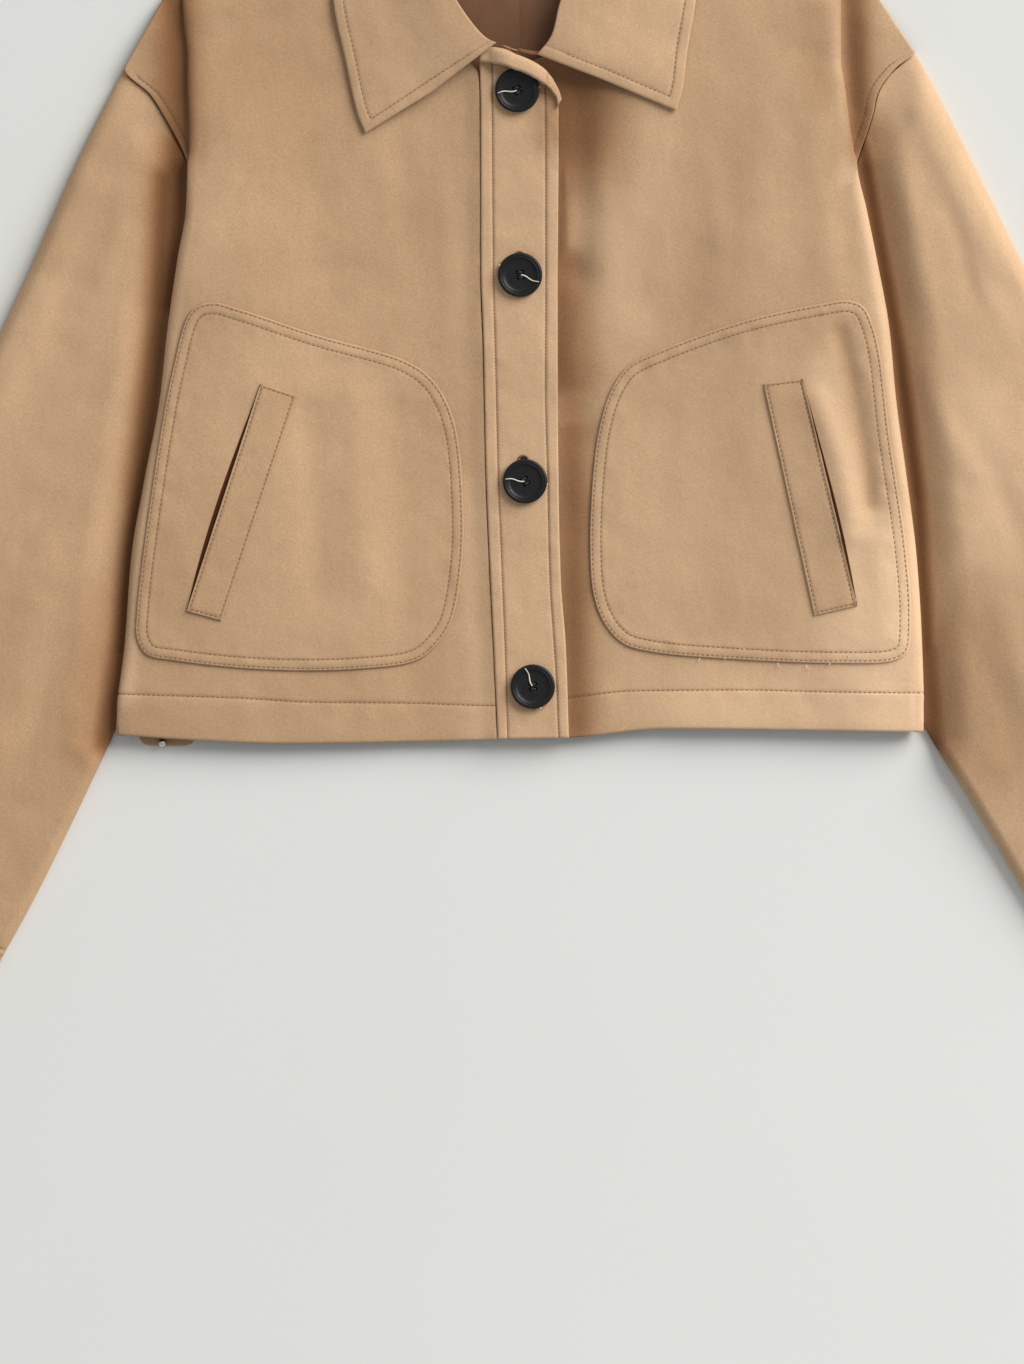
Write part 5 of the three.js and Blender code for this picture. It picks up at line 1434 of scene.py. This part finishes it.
def floor_material(look):
    """Pale matt paper with a trace of unevenness, and painted light that makes it a little lighter towards
    the window.
    """
    m = Shader("floor_paper", Roughness=0.9, Specular_IOR_Level=0.2)
    at = m.place()
    colour = m.scaled(rgb(look.floor), m.ranged(m.noise(at, 3), 0.3, 0.7, 0.99, 1.01))
    # Painted light: the paper is coloured lighter towards the window.
    across = m.node("ShaderNodeSeparateXYZ", in_0=at).outputs[0]
    m.join(m.scaled(colour, m.ranged(across, -0.33, 0.33, 0.955, 1.045)), "Base Color")
    return m.material


def kept_material(name, build, *values):
    """The material of that name, built once."""
    return bpy.data.materials.get(name) or build(*values)


def millimetres(group):
    """The lengths of a group of properties in millimetres, in which the shapes are worked out."""
    return SimpleNamespace(**{name: round(getattr(group, name) / MM, 3) for name in group.__annotations__})


def cloth_piece(name, shape, thread_paths=()):
    """Makes one cloth piece of its skin, with its sewing as a second piece."""
    scene = bpy.context.scene
    points, faces, values, _ = shape
    x, y = points[:, 0], points[:, 1]
    # Painted light and shade: the tone is lightened where light falls and darkened beside folds, in hollows
    # and in the valley by the placket, with a little random unevenness.
    nap = painted_shading(x, y, PAINTED_SHADE_LINES[name]) if name in PAINTED_SHADE_LINES else 0
    values["tone"] = PAINTED_LIGHT_BY_PIECE.get(name, 1.0) * (1 + nap + PAINTED_LIGHT_TO_LEFT * x + 0.012 * noise(x, y, 70, 7))
    # The sheet in each slit beside a welt gets a low tone: painted shade.
    values["tone"] = np.where(values["seam"] >= SLIT_SHADE_MARK, SLIT_SHADE, values["tone"])
    suede = kept_material("suede_napped", suede_material, scene.jacket_look)
    piece = make(name + "_cloth", points, faces, suede, "suede", values, nodes=(name,))
    if thread_paths:
        tan = kept_material("thread_tan", thread_material, "thread_tan", scene.jacket_look.thread)
        sewing = stitches(thread_paths, pitch=millimetres(scene.jacket_cloth).stitch * PITCHES.get(name, 1))
        make(name + "_sewing", *sewing, tan, "suede")
    return piece


class JacketCloth(bpy.types.PropertyGroup):
    """Sizes of the cloth's surface and sewing"""

    step: bpy.props.FloatProperty(
        name="Grid step", description="Distance between the points of the cloth", default=0.0026, min=0.0015,
        max=0.006, precision=4, unit="LENGTH")
    groove: bpy.props.FloatProperty(
        name="Seam depth", description="How deep a row of stitches sinks in", default=0.0003, min=0,
        max=0.001, precision=5, unit="LENGTH")
    puff: bpy.props.FloatProperty(
        name="Border puff", description="How far the cloth swells outside a row of stitches", default=0.0002,
        min=0, max=0.001, precision=5, unit="LENGTH")
    pucker: bpy.props.FloatProperty(
        name="Pucker", description="Height of the small waves along the seams", default=0.00035, min=0,
        max=0.001, precision=5, unit="LENGTH")
    stitch: bpy.props.FloatProperty(
        name="Stitch pitch", description="Distance from stitch to stitch", default=0.0031, min=0.002,
        max=0.006, precision=4, unit="LENGTH")


def colour_property(name, description, default):
    """A colour that a user can change."""
    return bpy.props.FloatVectorProperty(
        name=name, description=description, default=default, subtype="COLOR", size=3, min=0, max=1)


class JacketLook(bpy.types.PropertyGroup):
    """Colours of the jacket and the floor, and the light"""

    light: colour_property("Light suede", "Lighter tone of the nap", (0.545, 0.352, 0.203))
    dark: colour_property("Dark suede", "Darker tone of the nap", (0.51, 0.325, 0.185))
    # Painted light: the paler colour of the nap where the light falls on it.
    pale: colour_property("Brushed suede", "Nap brushed up towards the light", (0.78, 0.58, 0.40))
    # Partly painted shade: the back of the suede, coloured darker for the shade it lies in, in the neck and
    # in the slits.
    inside: colour_property("Inside", "Back of the suede, seen in the neck", (0.19, 0.095, 0.052))
    stitched: colour_property("Seam", "Shaded cloth in a row of stitches", (0.16, 0.075, 0.035))
    thread: colour_property("Thread", "Sewing thread", (0.25, 0.135, 0.07))
    tail: colour_property("Thread ends", "Pale ends of thread on the buttons", (0.80, 0.72, 0.60))
    button: colour_property("Button", "Black resin", (0.008, 0.0083, 0.0086))
    floor: colour_property("Floor", "Pale paper", (0.78, 0.785, 0.755))
    seam: bpy.props.FloatProperty(
        name="Seam shade", description="Share of the seam colour in a row of stitches", default=0.3, min=0,
        max=1, subtype="FACTOR")
    key: bpy.props.FloatProperty(
        name="Key light", description="Strength of the soft light from the upper right", default=3.5, min=0)
    fill: bpy.props.FloatProperty(
        name="Fill light", description="Strength of the even light from all round", default=0.40, min=0)


class JACKET_OT_back(bpy.types.Operator):
    """Adds the back, flat on the table"""

    bl_idname = "jacket.add_back"
    bl_label = "Back"
    bl_options = {"REGISTER", "UNDO"}

    def execute(self, context):
        cloth = millimetres(context.scene.jacket_cloth)
        shape, paths = back(cloth)
        cloth_piece("back", shape, paths)
        return {"FINISHED"}


class JACKET_OT_sleeves(bpy.types.Operator):
    """Adds both sleeves"""

    bl_idname = "jacket.add_sleeves"
    bl_label = "Sleeves"
    bl_options = {"REGISTER", "UNDO"}

    def execute(self, context):
        cloth = millimetres(context.scene.jacket_cloth)
        for key, name in (("r", "sleeve_right"), ("l", "sleeve_left")):
            shape, paths = sleeve(key, cloth)
            cloth_piece(name, shape, paths)
        return {"FINISHED"}


class JACKET_OT_fronts(bpy.types.Operator):
    """Adds both fronts, rolled over the sleeves at their sides"""

    bl_idname = "jacket.add_fronts"
    bl_label = "Fronts"
    bl_options = {"REGISTER", "UNDO"}

    def execute(self, context):
        cloth = millimetres(context.scene.jacket_cloth)
        for key, name in (("r", "front_right"), ("l", "front_left")):
            shape, paths = front(key, cloth)
            cloth_piece(name, shape, paths)
        return {"FINISHED"}


class JACKET_OT_placket(bpy.types.Operator):
    """Adds the button band with its curled top edge"""

    bl_idname = "jacket.add_placket"
    bl_label = "Placket"
    bl_options = {"REGISTER", "UNDO"}

    def execute(self, context):
        cloth = millimetres(context.scene.jacket_cloth)
        shape, paths = placket(cloth)
        cloth_piece("placket", shape, paths)
        return {"FINISHED"}


class JACKET_OT_pockets(bpy.types.Operator):
    """Adds the patch pockets and the welts of their hand openings"""

    bl_idname = "jacket.add_pockets"
    bl_label = "Pockets"
    bl_options = {"REGISTER", "UNDO"}

    def execute(self, context):
        cloth = millimetres(context.scene.jacket_cloth)
        look = context.scene.jacket_look
        for key, name in (("r", "right"), ("l", "left")):
            shape, paths = pocket(key, cloth)
            cloth_piece("pocket_" + name, shape, paths)
            shape, paths = welt(key, cloth)
            cloth_piece("welt_" + name, shape, paths)
        pale = kept_material("thread_pale", thread_material, "thread_pale", look.tail)
        frays = [fray(*row) for row in zip(*FRAYS.values())]
        make("pocket_left_frays", *join(frays), pale, "suede")
        return {"FINISHED"}


class JACKET_OT_collar(bpy.types.Operator):
    """Adds the collar: stand and leaf"""

    bl_idname = "jacket.add_collar"
    bl_label = "Collar"
    bl_options = {"REGISTER", "UNDO"}

    def execute(self, context):
        cloth = millimetres(context.scene.jacket_cloth)
        shape, paths = stand(cloth)
        cloth_piece("collar_stand", shape, paths)
        shape, paths = leaf(cloth)
        cloth_piece("collar_leaf", shape, paths)
        return {"FINISHED"}


class JACKET_OT_buttons(bpy.types.Operator):
    """Adds the four coat buttons, each with its thread, thread end and, where it shows, its buttonhole"""

    bl_idname = "jacket.add_buttons"
    bl_label = "Buttons"
    bl_options = {"REGISTER", "UNDO"}

    def execute(self, context):
        look = context.scene.jacket_look
        resin = kept_material("button_resin", resin_material, look)
        black = kept_material("thread_black", thread_material, "thread_black", (0.03, 0.03, 0.032))
        pale = kept_material("thread_pale", thread_material, "thread_pale", look.tail)
        tan = kept_material("thread_tan", thread_material, "thread_tan", look.thread)
        for i, (x, y, tail, bead, turn) in enumerate(zip(*BUTTONS.values())):
            at = (x, y, float(placket_top(x, y)) + BUTTON_LIFT)
            cos, sin = on_circle(1, turn)
            spin = np.array([(cos, sin, 0), (-sin, cos, 0), (0, 0, 1)])
            name = f"button_{i + 1}"
            points, faces = closed(button_face())
            make(name + "_disc", points @ spin + at, faces, resin, "button_black", nodes=(name,))
            threads = [cross_thread(*BUTTON_HOLES[:2]), cross_thread(*BUTTON_HOLES[2:])]
            bars = [tube(line @ spin + at, radius) for line, radius in threads]
            make(name + "_thread", *join(bars), black, "button_black")
            ends = [tube(line + at, radius) for line, radius in (thread_end(tail), knot(bead))]
            make(name + "_thread_end", *join(ends), pale, "suede")
        for number, *place in zip(*BUTTONHOLES.values()):
            edge, gap = buttonhole(*place)
            make(f"buttonhole_{number:.0f}_edge", *edge, tan, "suede")
            # The gap is painted shade: a thin black disc.
            make(f"buttonhole_{number:.0f}_gap", *gap, black, "button_black")
        return {"FINISHED"}


class JACKET_OT_tab(bpy.types.Operator):
    """Adds the small tab at the back hem and its metal ball"""

    bl_idname = "jacket.add_tab"
    bl_label = "Hem tab"
    bl_options = {"REGISTER", "UNDO"}

    def execute(self, context):
        cloth_piece("hem_tab", hem_tab())
        metal = kept_material("stud_nickel", stud_material)
        make("tab_stud_ball", *stud(), metal, "stud_metal", nodes=("tab_stud",))
        return {"FINISHED"}


def add_object(name, data):
    """An object of the scene with the data."""
    item = bpy.data.objects.new(name, data)
    bpy.context.scene.collection.objects.link(item)
    return item


class JACKET_OT_stage(bpy.types.Operator):
    """Adds the floor, the soft light and the camera straight above"""

    bl_idname = "jacket.add_stage"
    bl_label = "Stage"
    bl_options = {"REGISTER", "UNDO"}

    def execute(self, context):
        look = context.scene.jacket_look
        scene = context.scene
        mesh = bpy.data.meshes.new("floor")
        corners = [(FLOOR_REACH * x, FLOOR_REACH * y, 0) for x, y in ((-1, -1), (1, -1), (1, 1), (-1, 1))]
        mesh.from_pydata(corners, [], [(0, 1, 2, 3)])
        mesh.materials.append(floor_material(look))
        floor = add_object("floor", mesh)
        world = bpy.data.worlds.new("studio")
        world.use_nodes = True
        sky = world.node_tree.nodes["Background"]
        sky.inputs["Color"].default_value = (0.97, 0.985, 1.0, 1)
        sky.inputs["Strength"].default_value = look.fill
        scene.world = world
        lamp = bpy.data.lights.new("window", "SUN")
        lamp.energy = look.key
        lamp.angle = np.radians(WINDOW_SPREAD)
        lamp.color = (1.0, 0.985, 0.96)
        add_object("window", lamp).rotation_euler = np.radians(WINDOW_TURN)
        lens = bpy.data.cameras.new("camera")
        lens.sensor_width = SENSOR_WIDE
        lens.lens = SENSOR_WIDE * (CAMERA_HEIGHT - CLOTH_LEVEL) / PHOTO_HIGH
        camera = add_object("camera", lens)
        camera.location = (*PHOTO_MIDDLE, CAMERA_HEIGHT)
        scene.camera = camera
        scene.view_settings.view_transform = "Standard"
        scene.view_settings.look = "None"
        return {"FINISHED"}


STEPS = (
    JACKET_OT_back, JACKET_OT_sleeves, JACKET_OT_fronts, JACKET_OT_placket, JACKET_OT_pockets,
    JACKET_OT_collar, JACKET_OT_buttons, JACKET_OT_tab, JACKET_OT_stage,
)


class JACKET_PT_panel(bpy.types.Panel):
    """Lists the jacket's sizes, colours and pieces"""

    bl_idname = "JACKET_PT_panel"
    bl_label = "Suede jacket"
    bl_space_type = "VIEW_3D"
    bl_region_type = "UI"
    bl_category = "Jacket"

    def draw(self, context):
        """One row for each size and colour, and one button for each operator."""
        for group in (context.scene.jacket_cloth, context.scene.jacket_look):
            for name in group.__annotations__:
                self.layout.prop(group, name)
        for step in STEPS:
            self.layout.operator(step.bl_idname)


CLASSES = (JacketCloth, JacketLook, *STEPS, JACKET_PT_panel)


def register():
    """Adds the classes and their properties to Blender."""
    for item in CLASSES:
        bpy.utils.register_class(item)
    bpy.types.Scene.jacket_cloth = bpy.props.PointerProperty(type=JacketCloth)
    bpy.types.Scene.jacket_look = bpy.props.PointerProperty(type=JacketLook)


def unregister():
    """Takes them out again."""
    del bpy.types.Scene.jacket_look
    del bpy.types.Scene.jacket_cloth
    for item in reversed(CLASSES):
        bpy.utils.unregister_class(item)


def main():
    """Builds the jacket and its stage."""
    register()
    bpy.ops.jacket.add_back()
    bpy.ops.jacket.add_sleeves()
    bpy.ops.jacket.add_fronts()
    bpy.ops.jacket.add_placket()
    bpy.ops.jacket.add_pockets()
    bpy.ops.jacket.add_collar()
    bpy.ops.jacket.add_buttons()
    bpy.ops.jacket.add_tab()
    bpy.ops.jacket.add_stage()


if __name__ == "__main__":
    main()
